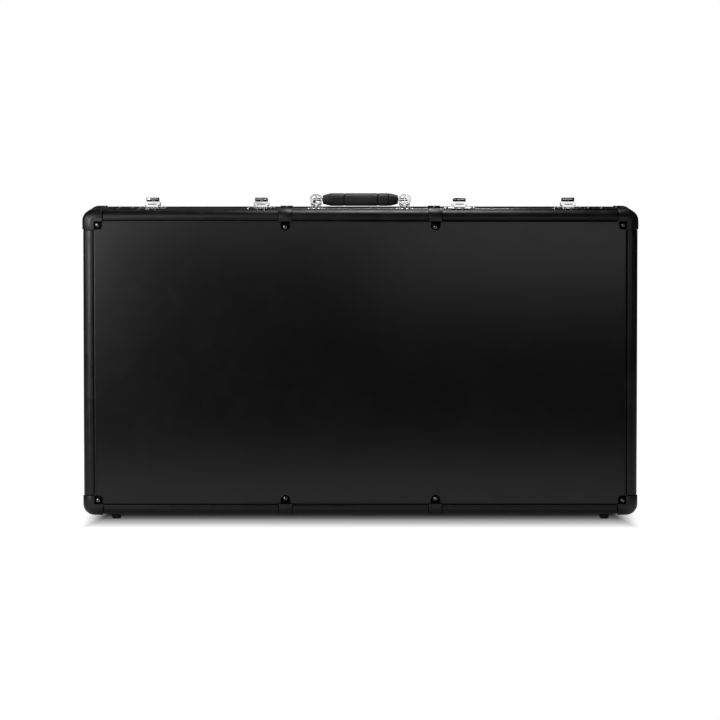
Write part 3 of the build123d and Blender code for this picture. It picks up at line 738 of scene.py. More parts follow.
@dataclass
class Frames(Assembly):
    """The extrusions along the case's edges and round its mouth.

    Attributes:
        half_length: Half the case's length.
        heights: The case's lowest and highest faces.
        depths: The lid's front face and the base's back face.
        parting: Where the lid meets the base.
        edge: The section over the outer edges along the case.
        upright: The section over the outer edges that stand upright.
        post: The section over the edges along the depth.
        cap: How far the corner caps reach along the edges.
        clamps: Where the clamps' sides are along the case.
        clamp_gap: The width and depth of the gaps beside them, which are painted black as shade.
    """

    half_length: float = 0.450
    heights: Pair = (0.0085, 0.5035)
    depths: Pair = (-0.100, 0.100)
    parting: float = -0.025
    edge: EdgeSection = EdgeSection(0.012, 0.016)
    upright: EdgeSection = EdgeSection(0.012, 0.017)
    post: EdgeSection = EdgeSection(0.017, 0.0185)
    cap: float = 0.031
    clamps: tuple[float, ...] = (-0.1325, -0.1115, 0.1115, 0.1325)
    clamp_gap: Pair = (0.0011, 0.0006)

    def beside_caps(self, start: float, stop: float) -> list[Gap]:
        """The gaps at the inner ends of the two caps on an edge from start to stop."""
        return [Gap(start + self.cap), Gap(stop - self.cap - Gap.width)]

    def beside_clamps(self) -> list[Gap]:
        """The gaps along both sides of each clamp."""
        width, depth = self.clamp_gap
        return [Gap(place - width * (i % 2 == 0), width, depth) for i, place in enumerate(self.clamps)]

    def run(self, axis: Axis, shell: Shell) -> Shape:
        """Sweeps all of one shell's extrusions that lie along an axis.

        Args:
            axis: The axis.
            shell: The shell.

        Returns:
            One mesh with the extrusions.
        """
        shape = bmesh.new()
        side, half, trim = shell.value, self.half_length, self.post.leg
        outer = self.depths[shell is Shell.BASE]
        low, high = self.heights
        x, y, z = Vector((1, 0, 0)), Vector((0, 1, 0)), Vector((0, 0, 1))
        faces = ((1, high), (-1, low))
        if axis is Axis.X:
            ends = (trim - half, half - trim)
            gaps = self.beside_caps(-half, half) + self.beside_clamps()
            for up, face in faces:
                sides = (z * -up, y * -side)
                sweep(shape, self.edge.outline(), Vector((0, outer, face)), sides, ends, x, gaps)
        elif axis is Axis.Z:
            ends = (low + trim, high - trim)
            for sign in (-1, 1):
                corner, sides = Vector((sign * half, outer, 0)), (x * -sign, y * -side)
                sweep(shape, self.upright.outline(), corner, sides, ends, z, self.beside_caps(low, high))
        else:
            ends = (outer - side * self.edge.leg, self.parting)
            for sign, (up, face) in product((-1, 1), faces):
                corner, sides = Vector((sign * half, 0, face)), (x * -sign, z * -up)
                sweep(shape, self.post.outline(), corner, sides, ends, y)
        return shape

    def build(self) -> None:
        """Makes every extrusion, with lines drawn along it, and softens the rims."""
        for shell in Shell:
            for part, axis in (("frame_long", Axis.X), ("frame_short", Axis.Z), ("corner_posts", Axis.Y)):
                piece(f"{shell.word}_{part}", self.run(axis, shell), EXTRUSIONS[axis], shell.word)
            self.from_cad(f"{shell.word}_rim", EXTRUSIONS[Axis.X], shell.word)


@dataclass
class Pressings(Assembly):
    """The corner caps, clamps and braces pressed from sheet.

    Attributes:
        low: The case's lowest corner, over the frame.
        high: The case's highest corner, over the frame.
        sunk: How deep the tabs' faces lie below the frame's.
        near: How far from that depth a tab's face may be.
        level: How far its direction has to follow an axis.
    """

    low: Point = (-0.450, -0.100, 0.0085)
    high: Point = (0.450, 0.100, 0.5035)
    sunk: float = 0.0008
    near: float = 0.0002
    level: float = 0.99

    def tabs(self, shape: Shape) -> list[Face]:
        """Finds the faces of the tabs that lie on the boards.

        Args:
            shape: The pressings' mesh.

        Returns:
            The faces.
        """
        found = []
        for face in shape.faces:
            middle = face.calc_center_median()
            for axis in range(3):
                depth = min(middle[axis] - self.low[axis], self.high[axis] - middle[axis])
                if abs(face.normal[axis]) > self.level and abs(depth - self.sunk) < self.near:
                    found.append(face)
        return found

    def build(self) -> None:
        """Softens every pressing, and paints the caps' sunk tabs black as shade."""
        for shell in Shell:
            for part in ("corners", "edge_clamps", "rim_corners"):
                node = f"{shell.word}_{part}"
                shape = self.softened(node)
                # Painted shade: the sunk tabs are marked as lying in a gap, so they render dead black.
                mark(self.tabs(shape), corner_layer(shape, "gap"))
                piece(node, shape, PRESSED, shell.word)


@dataclass(frozen=True)
class RivetSize:
    """A rivet's sizes.

    Attributes:
        head: The head's radius.
        rise: The head's height.
        shank: The shank's radius.
    """

    head: float
    rise: float
    shank: float


class RivetTree:
    """The Geometry Nodes tree that puts a domed rivet on every point of a mesh.

    Attributes:
        name: The tree's name.
        sizes: Its inputs that are sizes.
        net: How many faces a head has round its middle and from pole to pole.
        flat: Where a head's lower half is pressed flat, in radii from its middle.
        least: How large the smallest head is beside the largest.
        sides: How many sides a shank has.
    """

    name = "domed_rivets"
    sizes = ("Head radius", "Head height", "Shank radius")
    net = (28, 16)
    flat = -0.12
    least = 0.975
    sides = 12

    def __init__(self) -> None:
        """Builds the tree."""
        self.tree = tree = bpy.data.node_groups.new(self.name, "GeometryNodeTree")
        kinds = {"Geometry": "Geometry", **dict.fromkeys(self.sizes, "Float")}
        kinds |= {"Seed": "Int", "Finish": "Material"}
        for name, kind in kinds.items():
            tree.interface.new_socket(name, in_out="INPUT", socket_type="NodeSocket" + kind)
        tree.interface.new_socket("Geometry", in_out="OUTPUT", socket_type="NodeSocketGeometry")
        self.sheet = sheet = Sheet(tree)
        self.given = sheet.add("NodeGroupInput").outputs
        joined = sheet.add("GeometryNodeJoinGeometry")
        for part in (self.heads(), self.shanks()):
            tree.links.new(part, joined.inputs[0])
        real = sheet.first("GeometryNodeRealizeInstances", {0: joined.outputs[0]})
        painted = sheet.first("GeometryNodeSetMaterial", {"Geometry": real, "Material": self.given["Finish"]})
        sheet.add("NodeGroupOutput", {0: painted})

    def heads(self) -> Socket:
        """Adds the heads: flattened spheres with their lower halves pressed flat.

        Returns:
            The heads' geometry.
        """
        sheet, given = self.sheet, self.given
        around, down = self.net
        ball = sheet.first("GeometryNodeMeshUVSphere", {"Segments": around, "Rings": down, "Radius": 1.0})
        x, y, z = sheet.add("ShaderNodeSeparateXYZ", {0: sheet.first("GeometryNodeInputPosition")}).outputs
        flat = sheet.first("ShaderNodeCombineXYZ", {0: x, 1: y, 2: sheet.math("MAXIMUM", z, self.flat)})
        dome = sheet.first("GeometryNodeSetPosition", {"Geometry": ball, "Position": flat})
        smooth = sheet.first("GeometryNodeSetShadeSmooth", {"Geometry": dome})
        width, height = given["Head radius"], given["Head height"]
        size = sheet.first("ShaderNodeCombineXYZ", {0: width, 1: width, 2: height})
        shaped = sheet.first("GeometryNodeTransform", {"Geometry": smooth, "Scale": size})
        spread = {2: self.least, 3: 1.0, "Seed": given["Seed"]}
        vary = sheet.add("FunctionNodeRandomValue", spread, data_type="FLOAT")
        return self.on_points(shaped, vary.outputs[1])

    def shanks(self) -> Socket:
        """Adds the shanks, each as long as its point's grip.

        Returns:
            The shanks' geometry.
        """
        sheet = self.sheet
        inputs = {"Vertices": self.sides, "Radius": self.given["Shank radius"], "Depth": 1.0}
        bar = sheet.first("GeometryNodeMeshCylinder", inputs)
        hung = sheet.first("GeometryNodeTransform", {"Geometry": bar, "Translation": (0.0, 0.0, -0.5)})
        grip = sheet.first("GeometryNodeInputNamedAttribute", {"Name": "grip"}, data_type="FLOAT")
        size = sheet.first("ShaderNodeCombineXYZ", {0: 1.0, 1: 1.0, 2: grip})
        return self.on_points(hung, size)

    def on_points(self, shape: Socket, scale: Socket) -> Socket:
        """Puts a shape on every point, turned to the point's outward direction.

        Args:
            shape: The shape's geometry.
            scale: Its scale at each point.

        Returns:
            The geometry of all of them.
        """
        kind = "GeometryNodeInputNamedAttribute"
        outward = self.sheet.first(kind, {"Name": "outward"}, data_type="FLOAT_VECTOR")
        turn = self.sheet.first("FunctionNodeAlignRotationToVector", {"Vector": outward}, axis="Z")
        inputs = {"Points": self.given["Geometry"], "Instance": shape, "Rotation": turn, "Scale": scale}
        return self.sheet.first("GeometryNodeInstanceOnPoints", inputs)

    def spread(self, points: bpy.types.Mesh, size: RivetSize, finish: Finish, seed: int) -> bpy.types.Mesh:
        """Puts rivets on the points of a mesh.

        Args:
            points: A mesh of loose points with the attributes outward and grip.
            size: The rivets' sizes.
            finish: Their finish.
            seed: The seed of their small differences.

        Returns:
            One plain mesh with all the rivets.
        """
        carrier = linked(points.name, points)
        modifier = carrier.modifiers.new("rivets", "NODES")
        modifier.node_group = self.tree
        values = dict(zip(self.sizes, (size.head, size.rise, size.shank)))
        values |= {"Seed": seed, "Finish": finish.material()}
        for item in self.tree.interface.items_tree:
            if item.in_out == "INPUT" and item.name in values:
                modifier[item.identifier] = values[item.name]
        graph = bpy.context.evaluated_depsgraph_get()
        mesh = bpy.data.meshes.new_from_object(carrier.evaluated_get(graph), depsgraph=graph)
        carrier.modifiers.clear()
        bpy.data.objects.remove(carrier)
        return mesh


@dataclass
class Rivets(Assembly):
    """The domed rivets of both shells, at the places of their CAD solids.

    Attributes:
        large: The sizes of the rivets in the caps, clamps and braces.
        small: The sizes of the rivets in the latches, handle and hinges.
    """

    large: RivetSize = RivetSize(0.0033, 0.0016, 0.0016)
    small: RivetSize = RivetSize(0.0022, 0.0011, 0.0012)

    def points(self, node: str, size: RivetSize) -> bpy.types.Mesh:
        """Finds each rivet's seat, direction and grip from its CAD solid.

        Args:
            node: The node whose solids are rivets.
            size: The rivets' sizes.

        Returns:
            A mesh of one loose point for each rivet, with its direction and grip as attributes.
        """
        shape = merged(node)
        seats: list[tuple[Vector, Vector, float]] = []
        waiting = set(shape.verts)
        while waiting:
            island = {waiting.pop()}
            front = list(island)
            while front:
                for edge in front.pop().link_edges:
                    for vert in edge.verts:
                        if vert not in island:
                            island.add(vert)
                            front.append(vert)
            waiting -= island
            low = Vector([min(vert.co[i] for vert in island) for i in range(3)])
            high = Vector([max(vert.co[i] for vert in island) for i in range(3)])
            along = max(range(3), key=lambda i: high[i] - low[i])
            middle = (low + high) / 2
            across = [i for i in range(3) if i != along]
            places = (vert.co for vert in island)
            rim = max(places, key=lambda co: hypot(*(co[i] - middle[i] for i in across)))
            sign = 1 if rim[along] > middle[along] else -1
            outward = Vector([sign if i == along else 0 for i in range(3)])
            tip = high[along] if sign > 0 else low[along]
            seat = middle.copy()
            seat[along] = tip - sign * size.rise
            seats.append((seat, outward, high[along] - low[along] - size.rise))
        shape.free()
        seats.sort(key=lambda seat: tuple(round(value, 4) for value in seat[0]))
        mesh = bpy.data.meshes.new(node + "_seats")
        mesh.from_pydata([seat for seat, _, _ in seats], [], [])
        outwards = mesh.attributes.new("outward", "FLOAT_VECTOR", "POINT")
        outwards.data.foreach_set("vector", [value for _, outward, _ in seats for value in outward])
        grips = mesh.attributes.new("grip", "FLOAT", "POINT")
        grips.data.foreach_set("value", [grip for _, _, grip in seats])
        return mesh

    def build(self) -> None:
        """Puts the rivets on both shells."""
        tree = RivetTree()
        for seed, shell in enumerate(Shell):
            for node, size, finish in (
                (f"{shell.word}_rivets", self.large, RIVET),
                (f"{shell.word}_small_rivets", self.small, STEEL),
            ):
                mesh = tree.spread(self.points(node, size), size, finish, seed)
                piece(node, mesh, finish, shell.word)


@dataclass
class Feet(Assembly):
    """The rubber feet and their screws.

    Attributes:
        rubber: How wide the feet's edges are rounded.
    """

    rubber: float = 0.0010

    def build(self) -> None:
        """Softens the feet and screws."""
        for shell in Shell:
            self.from_cad(f"{shell.word}_feet", RUBBER, shell.word, self.rubber)
            self.from_cad(f"{shell.word}_foot_screws", STEEL, shell.word)


@dataclass
class Hinges(Assembly):
    """The hinge leaves and pins."""

    rounding: float = 0.0002

    def build(self) -> None:
        """Softens the leaves and pins."""
        for shell in Shell:
            self.from_cad(f"{shell.word}_hinge_leaves", STEEL, shell.word)
        self.from_cad("hinge_pins", STEEL, "base")


def slot(shape: Shape, low: Pair, high: Pair, depth: float) -> None:
    """Sinks a slot into the faces that look to the front, its walls painted black as shade.

    Args:
        shape: The mesh.
        low: The slot's left and bottom.
        high: Its right and top.
        depth: How deep it is.
    """

    def forward() -> list[Face]:
        """Finds the faces that look to the front and reach into the slot's outline.

        Returns:
            The faces.
        """
        found = []
        for face in shape.faces:
            xs = [vert.co.x for vert in face.verts]
            zs = [vert.co.z for vert in face.verts]
            inside = min(xs) < high[0] and max(xs) > low[0] and min(zs) < high[1] and max(zs) > low[1]
            if inside and face.normal.y < -STRAIGHT and face.calc_area() > SPECK:
                found.append(face)
        return found

    for axis, value in ((0, low[0]), (0, high[0]), (2, low[1]), (2, high[1])):
        faces = forward()
        edges = dict.fromkeys(edge for face in faces for edge in face.edges)
        verts = dict.fromkeys(vert for face in faces for vert in face.verts)
        bmesh.ops.bisect_plane(
            shape,
            geom=[*faces, *edges, *verts],
            plane_co=[value if i == axis else 0.0 for i in range(3)],
            plane_no=[float(i == axis) for i in range(3)],
        )
    sunk = []
    for face in forward():
        middle = face.calc_center_median()
        if low[0] < middle.x < high[0] and low[1] < middle.z < high[1]:
            sunk.append(face)
    made = bmesh.ops.extrude_face_region(shape, geom=sunk)["geom"]
    bmesh.ops.delete(shape, geom=[face for face in sunk if face.is_valid], context="FACES_ONLY")
    verts = [item for item in made if isinstance(item, bmesh.types.BMVert)]
    bmesh.ops.translate(shape, verts=verts, vec=(0.0, depth, 0.0))
    walls = {face for vert in verts for face in vert.link_faces}
    # Painted shade: the slot's walls are marked to render black.
    mark(walls, corner_layer(shape, "gap"))
    for face in walls:
        face.smooth = False


@dataclass
class Latches(Assembly):
    """The four draw latches with their catches and locks.

    Attributes:
        count: How many latches there are.
        lip: The low and high corners, from a lever's middle, of the lip folded down inside its front.
        catch_slot: Half the width, the bottom and the top of the slot across a catch.
        claw_slot: The same of the slot across a claw's bar.
        slot_depth: How deep both are.
    """

    rounding: float = 0.0006
    count: int = 4
    lip: tuple[Point, Point] = ((-0.0088, -0.0122, 0.5171), (0.0088, -0.0110, 0.5210))
    catch_slot: Point = (0.0092, 0.5060, 0.5070)
    claw_slot: Point = (0.0066, 0.5109, 0.5123)
    slot_depth: float = 0.0007

    def slotted(self, node: str, body: str, places: Iterable[float], size: Point) -> None:
        """Softens a chromed piece and sinks a slot, painted black as shade, into its front at each place.

        Args:
            node: The piece's CAD node.
            body: The body that it moves with.
            places: The middles of its slots along the case.
            size: Half the width, the bottom and the top of a slot.
        """
        shape = self.softened(node)
        half, bottom, top = size
        for place in places:
            slot(shape, (place - half, bottom), (place + half, top), self.slot_depth)
        piece(node, shape, CHROME, body)

    def lever(self, number: int, middle: float) -> None:
        """Softens a latch's lever and adds its front lip.

        Args:
            number: The latch's number.
            middle: The lever's middle along the case.
        """
        node = f"latch_lever_{number}"
        shape = merged(node)
        start, stop = (Vector(corner) + Vector((middle, 0, 0)) for corner in self.lip)
        for vert in bmesh.ops.create_cube(shape)["verts"]:
            vert.co = Vector([stop[i] if vert.co[i] > 0 else start[i] for i in range(3)])
        soften(shape, self.rounding)
        piece(node, shape, CHROME, f"lever_{number}")

    def build(self) -> None:
        """Softens every latch's fixed and moving pieces."""
        numbers = range(1, self.count + 1)
        boxes = {number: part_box(f"latch_lever_{number}") for number in numbers}
        places = {number: (low[0] + high[0]) / 2 for number, (low, high) in boxes.items()}
        self.slotted("latch_catches", "lid", places.values(), self.catch_slot)
        self.from_cad("latch_base_plates", CHROME, "base")
        self.from_cad("latch_pivot_pins", STEEL, "base")
        for number in numbers:
            self.lever(number, places[number])
            self.from_cad(f"latch_lock_{number}", LOCK, f"lever_{number}")
            self.slotted(f"latch_claw_{number}", f"claw_{number}", [places[number]], self.claw_slot)


@dataclass
class Handle(Assembly):
    """The folding handle: brackets, pins, steel core and moulded grip.

    Attributes:
        pivot: The pins' place across the case, and their height.
        tilt: How far the grip stands up at rest.
        reach: How far the grip's middle is from the pins.
        length: The grip's length.
        body: The length of its full middle.
        full: The middle's half depth and half height.
        slim: The ends' half depth and half height.
        ease: How much of the change from one to the other is eased.
        corner: How far from an end its rounding starts, and how deep it goes.
        bands: Where moulded bands run round it, and how deep each is.
        band: How far a band reaches to each side, and how far its middle, painted black as shade, does.
        power: The exponent of the section's curve, and how much less it is at the ends.
        net: How many faces the grip has along and around.
        bracket: How wide the brackets' edges are rounded.
        core: How wide the core's edges are rounded.
    """

    rounding: float = 0.00025
    pivot: Pair = (0.013, 0.51015)
    tilt: float = radians(9)
    reach: float = 0.0386
    length: float = 0.124
    body: float = 0.096
    full: Pair = (0.012, 0.00985)
    slim: Pair = (0.00825, 0.007)
    ease: float = 0.35
    corner: Pair = (0.0016, 0.0014)
    bands: tuple[Pair, ...] = ((-0.0264, 0.0011), (0.0289, 0.0013), (0.0465, 0.0008))
    band: Pair = (0.0018, 0.0008)
    power: Pair = (3.4, 0.6)
    net: tuple[int, int] = (168, 64)
    bracket: float = 0.0005
    core: float = 0.0004

    def section(self, x: float) -> Point:
        """Sizes the grip's section at a place along it.

        Args:
            x: The place.

        Returns:
            The half depth, the half height, and the exponent of the section's curve.
        """
        half, end = self.body / 2, self.length / 2
        taper = max(0.0, (abs(x) - half) / (end - half))
        share = taper * taper * (3 - 2 * taper) * self.ease + taper * (1 - self.ease)
        lip = max(0.0, 1 - (end - abs(x)) / self.corner[0])
        dip = sum(depth * max(0.0, 1 - abs(x - place) / self.band[0]) ** 2 for place, depth in self.bands)
        trim = self.corner[1] * (1 - (1 - lip * lip) ** 0.5) + dip
        deep, high = (full + (slim - full) * share - trim for full, slim in zip(self.full, self.slim))
        return deep, high, self.power[0] - self.power[1] * taper

    def grip(self) -> Shape:
        """Lofts the grip through its sections.

        Returns:
            The grip, tilted as it rests.
        """
        shape = bmesh.new()
        along, around = self.net
        rings = []
        for step in range(along + 1):
            x = self.length * (step / along - 0.5)
            deep, high, power = self.section(x)
            ring = []
            for index in range(around):
                angle = 2 * pi * index / around
                across, up = cos(angle), sin(angle)
                size = (abs(across) ** power + abs(up) ** power) ** (-1 / power)
                ring.append(shape.verts.new((x, self.reach + deep * across * size, high * up * size)))
            rings.append(ring)
        for first, second in zip(rings, rings[1:]):
            for index in range(around):
                after = (index + 1) % around
                shape.faces.new((first[index], second[index], second[after], first[after]))
        shape.faces.new(rings[0])
        shape.faces.new(reversed(rings[-1]))
        turn = Matrix.Rotation(self.tilt, 4, "X")
        turn.translation = (0, *self.pivot)
        shape.transform(turn)
        bmesh.ops.recalc_face_normals(shape, faces=shape.faces)
        layer = corner_layer(shape, "gap")
        for face in shape.faces:
            face.smooth = len(face.verts) == 4
            middle = face.calc_center_median().x
            # Painted shade: each band's middle is marked as lying in a gap and renders black.
            banded = any(abs(middle - place) < self.band[1] for place, _ in self.bands)
            mark([face], layer, float(banded))
        corner_layer(shape)
        return shape

    def build(self) -> None:
        """Makes the grip and softens the metal pieces."""
        self.from_cad("handle_brackets", CHROME, "base", self.bracket)
        self.from_cad("handle_pivot_pins", STEEL, "base")
        self.from_cad("handle_core", CHROME, "handle", self.core)
        piece("handle_grip", self.grip(), GRIP, "handle")


@dataclass
class Lining(Assembly):
    """The foam linings and the felt-covered divider.

    Attributes:
        cell: The spacing of the points on a pad's surface.
        edge: The radius of a pad's rounded edges.
        peak: The pitch of the lid foam's peaks.
        valley: How deep the valleys between them are.
        strip: How thick the strips round the base are.
        seam: The seam between two strips.
        fine: How much closer the points are on the lid's foam.
        cuts: How much of the corners of the pads and of the strips is cut off.
        waves: How far waves move the points of the lid's and of the base's foam.
        waviness: How close the waves are.
        seed: The seed of the waves' places.
        board: How wide the divider's edges are rounded.
    """

    cell: float = 0.006
    edge: float = 0.0025
    peak: float = 0.032
    valley: float = 0.006
    strip: float = 0.020
    seam: float = 0.0003
    fine: float = 1.5
    cuts: Pair = (0.0105, 0.005)
    waves: Pair = (0.00025, 0.0003)
    waviness: float = 55.0
    seed: int = 1
    board: float = 0.0012

    def pad(self, low: Vector, high: Vector, cell: float) -> Shape:
        """Makes a closed block with rounded edges and an even net of points.

        Args:
            low: Its lowest corner.
            high: Its highest corner.
            cell: The spacing of its points.

        Returns:
            The block.
        """
        counts = [max(3, round((high[i] - low[i]) / cell)) for i in range(3)]
        shape = bmesh.new()
        known: dict[tuple[int, int, int], bmesh.types.BMVert] = {}

        def corner(*place: int) -> bmesh.types.BMVert:
            """Finds the point at a place of the net, or adds it.

            Args:
                *place: The place, counted along each axis.

            Returns:
                The point.
            """
            if place not in known:
                co = Vector([low[i] + (high[i] - low[i]) * place[i] / counts[i] for i in range(3)])
                inner = Vector([min(max(co[i], low[i] + self.edge), high[i] - self.edge) for i in range(3)])
                away = co - inner
                known[place] = shape.verts.new(inner + away.normalized() * min(self.edge, away.length))
            return known[place]

        for axis in range(3):
            first, second = (axis + 1) % 3, (axis + 2) % 3
            for end, i, j in product((0, counts[axis]), range(counts[first]), range(counts[second])):
                ring = []
                for di, dj in ((0, 0), (1, 0), (1, 1), (0, 1)):
                    place = [0, 0, 0]
                    place[axis], place[first], place[second] = end, i + di, j + dj
                    ring.append(corner(*place))
                shape.faces.new(ring if end else reversed(ring))
        for face in shape.faces:
            face.smooth = True
        corner_layer(shape)
        return shape

    def cut(self, shape: Shape, low: Vector, high: Vector, corner: float) -> None:
        """Cuts the four corners off a pad that faces along Y.

        Args:
            shape: The pad.
            low: Its lowest corner.
            high: Its highest corner.
            corner: How much of each corner goes.
        """
        corners = list(product(((-1, low.x), (1, high.x)), ((-1, low.z), (1, high.z))))
        for vert, ((sx, x), (sz, z)) in product(shape.verts, corners):
            over = sx * (vert.co.x - x) + sz * (vert.co.z - z) + corner
            if over > 0:
                vert.co.x -= sx * over / 2
                vert.co.z -= sz * over / 2

    def foam(self, shape: Shape, waves: float, node: str, body: str, name: str = "") -> None:
        """Gives a pad the slight waves of cut foam, and makes its soft piece.

        Args:
            shape: The pad.
            waves: The largest move of a point.
            node: The CAD node that it stands in for.
            body: The body that it moves with.
            name: What its own name starts with, if not with the node's.
        """
        for vert in shape.verts:
            vert.co += noise.noise_vector(vert.co * self.waviness) * waves
        piece(node, shape, FOAM, body, name)

    def build(self) -> None:
        """Makes the pads, the strips and the divider."""
        noise.seed_set(self.seed)
        cells = (self.cell / self.fine, self.cell)
        for shell, node, cell, waves in zip(Shell, ("lid_foam", "base_foam_floor"), cells, self.waves):
            low, high = (Vector(corner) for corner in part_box(node))
            pad = self.pad(low, high, cell)
            peaked = [vert for vert in pad.verts if shell is Shell.LID and vert.co.y > high.y - ON_FACE]
            for vert in peaked:
                x, z = (2 * pi * vert.co[i] / self.peak for i in (0, 2))
                vert.co.y -= self.valley * (0.5 - 0.25 * (cos(x) + cos(z)))
            self.cut(pad, low, high, self.cuts[0])
            self.foam(pad, waves, node, shell.word)
        self.sides()
        self.from_cad("cable_bay_divider", FELT, "base", self.board)

    def sides(self) -> None:
        """Makes the four strips round the base."""
        low, high = (Vector(corner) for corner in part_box("base_foam_sides"))
        thick = self.strip
        inner = (low.z + thick + self.seam, high.z - thick - self.seam)
        strips = {
            "top": ((low.x, high.z - thick), (high.x, high.z)),
            "bottom": ((low.x, low.z), (high.x, low.z + thick)),
            "left": ((low.x, inner[0]), (low.x + thick, inner[1])),
            "right": ((high.x - thick, inner[0]), (high.x, inner[1])),
        }
        for name, ((x0, z0), (x1, z1)) in strips.items():
            strip = self.pad(Vector((x0, low.y, z0)), Vector((x1, high.y, z1)), self.cell)
            if name in ("top", "bottom"):
                self.cut(strip, low, high, self.cuts[1])
            self.foam(strip, self.waves[1], "base_foam_sides", "base", "base_foam_" + name)


# The studio


@dataclass(frozen=True)
class Softbox:
    """A soft lamp.

    Attributes:
        name: The lamp's name.
        place: Where it hangs.
        target: What it points at.
        size: Its width and height.
        power: Its power in watts.
    """

    name: str
    place: Point
    target: Point
    size: Pair
    power: float

    def hang(self) -> None:
        """Adds the lamp, unseen by the camera."""
        lamp = bpy.data.lights.new(self.name, "AREA")
        lamp.shape = "RECTANGLE"
        lamp.size, lamp.size_y = self.size
        lamp.energy = self.power
        holder = linked(self.name, lamp)
        holder.location = self.place
        aim = Vector(self.target) - Vector(self.place)
        holder.rotation_euler = aim.to_track_quat("-Z", "Y").to_euler()
        holder.visible_camera = False


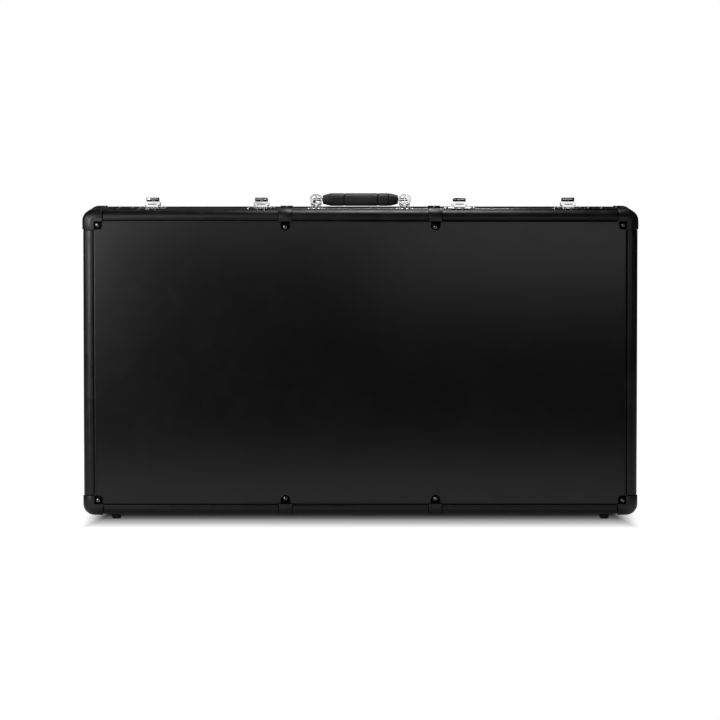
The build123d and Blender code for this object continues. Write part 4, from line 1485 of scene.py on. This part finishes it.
@dataclass
class Studio:
    """The camera, the lamps, the surroundings and the floor.

    Attributes:
        distance: How far the camera stands from the lid.
        height: The camera's height.
        aim: The height that it looks at.
        view: How much of the lid's plane the picture's width takes in.
        side: How far the camera stands to the left of the case's middle.
        sensor: The width of the camera's sensor, in its own millimetres.
        ambient: The surroundings' light on the object.
        ahead: How far forward a reflection looks where it starts and ends to dim, and its light at both.
        floor: The floor's left, near, right and far edges.
        deep_fade: How the floor's painted shadow fades along the depth: a start, a length and a power.
        side_fade: Where the painted shadow starts and ends to fade to the sides.
        painted_reflection_glow: How strongly the floor glows where reflections see it, as a painted
            reflection.
        lamps: The soft lamps.
    """

    distance: float = 8.0
    height: float = 0.79
    aim: float = 0.2606
    view: float = 1.1694
    side: float = 0.0006
    sensor: float = 36.0
    ambient: float = 0.9
    ahead: tuple[float, ...] = (0.93, 0.995, 0.01, 0.08)
    floor: tuple[float, ...] = (-1.5, -0.6, 1.5, 1.4)
    deep_fade: Point = (0.02, 0.262, 1.9)
    side_fade: Pair = (0.41, 0.458)
    # Painted reflection: the share of the floor's glow that reflections see.
    painted_reflection_glow: float = 0.55
    lamps: tuple[Softbox, ...] = (
        Softbox("key", (-0.75, -0.85, 0.5), (-0.42, -0.1, 0.4), (0.35, 0.45), 3.4),
        Softbox("side", (-1.1, -0.45, 0.66), (-0.45, -0.1, 0.42), (0.6, 0.6), 2.8),
        Softbox("above", (0.07, 0.36, 1.2), (0.07, 0.3, 0.0), (0.38, 0.92), 4.1),
        Softbox("high", (-0.42, -0.65, 0.85), (-0.35, -0.1, 0.45), (0.5, 0.3), 0.5),
        Softbox("behind", (0.105, 2.5, 0.62), (0.105, 0.0, 0.5), (0.45, 0.2), 1.8),
        Softbox("right", (0.33, -0.85, 0.455), (0.33, -0.1, 0.42), (0.6, 0.18), 0.37),
        Softbox("left", (-0.28, -0.6, 0.49), (-0.28, -0.1, 0.48), (0.6, 0.06), 0.13),
        Softbox("low", (0.0, -0.45, 0.02), (0.0, -0.1, 0.2), (1.1, 0.1), 0.1),
    )

    def shoot(self) -> None:
        """Adds the camera, level with the photograph's view."""
        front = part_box("front_panel")[0][1]
        lens = bpy.data.cameras.new("camera")
        drop = self.height - self.aim
        lens.sensor_width = self.sensor
        lens.lens = self.sensor * hypot(self.distance, drop) / self.view
        lens.clip_end = 100.0
        camera = linked("camera", lens)
        camera.location = (-self.side, front - self.distance, self.height)
        camera.rotation_euler = (pi / 2 - atan2(drop, self.distance), 0.0, 0.0)
        bpy.context.scene.camera = camera

    def surround(self) -> None:
        """Makes the surroundings: white where seen, dim in front and bright elsewhere in reflections."""
        world = bpy.data.worlds.new("surroundings")
        sheet = Sheet.blank(world)
        ray = sheet.add("ShaderNodeLightPath").outputs
        way = sheet.add("ShaderNodeTexCoord").outputs["Generated"]
        depth = sheet.add("ShaderNodeSeparateXYZ", {0: way}).outputs[1]
        shown = sheet.ramp(depth, *self.ahead)
        glossy = sheet.math("MULTIPLY", ray["Is Glossy Ray"], sheet.math("SUBTRACT", shown, self.ambient))
        level = sheet.math("ADD", glossy, self.ambient)
        strength = sheet.math("MAXIMUM", level, ray["Is Camera Ray"])
        light = sheet.first("ShaderNodeBackground", {"Color": (1.0, 1.0, 1.0, 1.0), "Strength": strength})
        sheet.add("ShaderNodeOutputWorld", {"Surface": light})
        world.cycles.sampling_method = "NONE"
        bpy.context.scene.world = world

    def lay_floor(self) -> None:
        """Lays a white floor whose glow fades out near the case as a painted shadow, and which glows in
        reflections too.
        """
        x0, y0, x1, y1 = self.floor
        mesh = bpy.data.meshes.new("floor")
        mesh.from_pydata([(x0, y0, 0), (x1, y0, 0), (x1, y1, 0), (x0, y1, 0)], [], [(0, 1, 2, 3)])
        white = bpy.data.materials.new("floor_white")
        sheet = Sheet.blank(white)
        ray = sheet.add("ShaderNodeLightPath").outputs
        spot = sheet.add("ShaderNodeTexCoord").outputs["Object"]
        across, deep, _ = sheet.add("ShaderNodeSeparateXYZ", {0: spot}).outputs
        start, length, power = self.deep_fade
        # Painted shadow: the floor's glow fades out toward the case along the depth and at its sides.
        behind = sheet.math("ADD", sheet.math("ABSOLUTE", deep), start)
        behind = sheet.math("POWER", sheet.math("DIVIDE", behind, length, clamp=True), power)
        beside = sheet.ramp(sheet.math("ABSOLUTE", across), *self.side_fade)
        # Painted reflection: reflections see the floor glowing too, at a share of the same strength.
        painted_reflection_glow = sheet.math("MULTIPLY", ray["Is Glossy Ray"], self.painted_reflection_glow)
        seen = sheet.math("ADD", ray["Is Camera Ray"], painted_reflection_glow, clamp=True)
        painted_shadow_glow = sheet.math("MULTIPLY", sheet.math("MAXIMUM", behind, beside), seen)
        paint = sheet.first("ShaderNodeBsdfDiffuse", {"Color": (0.1, 0.1, 0.1, 1.0)})
        glow = sheet.first("ShaderNodeEmission", {"Strength": painted_shadow_glow})
        both = sheet.first("ShaderNodeAddShader", {0: paint, 1: glow})
        sheet.add("ShaderNodeOutputMaterial", {"Surface": both})
        mesh.materials.append(white)
        floor = linked("floor", mesh)

    def build(self) -> None:
        """Sets up the whole studio."""
        self.shoot()
        self.surround()
        self.lay_floor()
        for lamp in self.lamps:
            lamp.hang()
        bpy.context.scene.view_settings.view_transform = "Standard"
        log.info("studio: %d lamps", len(self.lamps))


def main() -> None:
    """Builds the case's sub-assemblies and the studio."""
    logging.basicConfig(level=logging.INFO, format="%(message)s")
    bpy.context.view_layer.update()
    case = (Boards(), Frames(), Pressings(), Rivets(), Feet(), Hinges(), Latches(), Handle(), Lining())
    for part in (*case, Studio()):
        part.build()


if __name__ == "__main__":
    main()
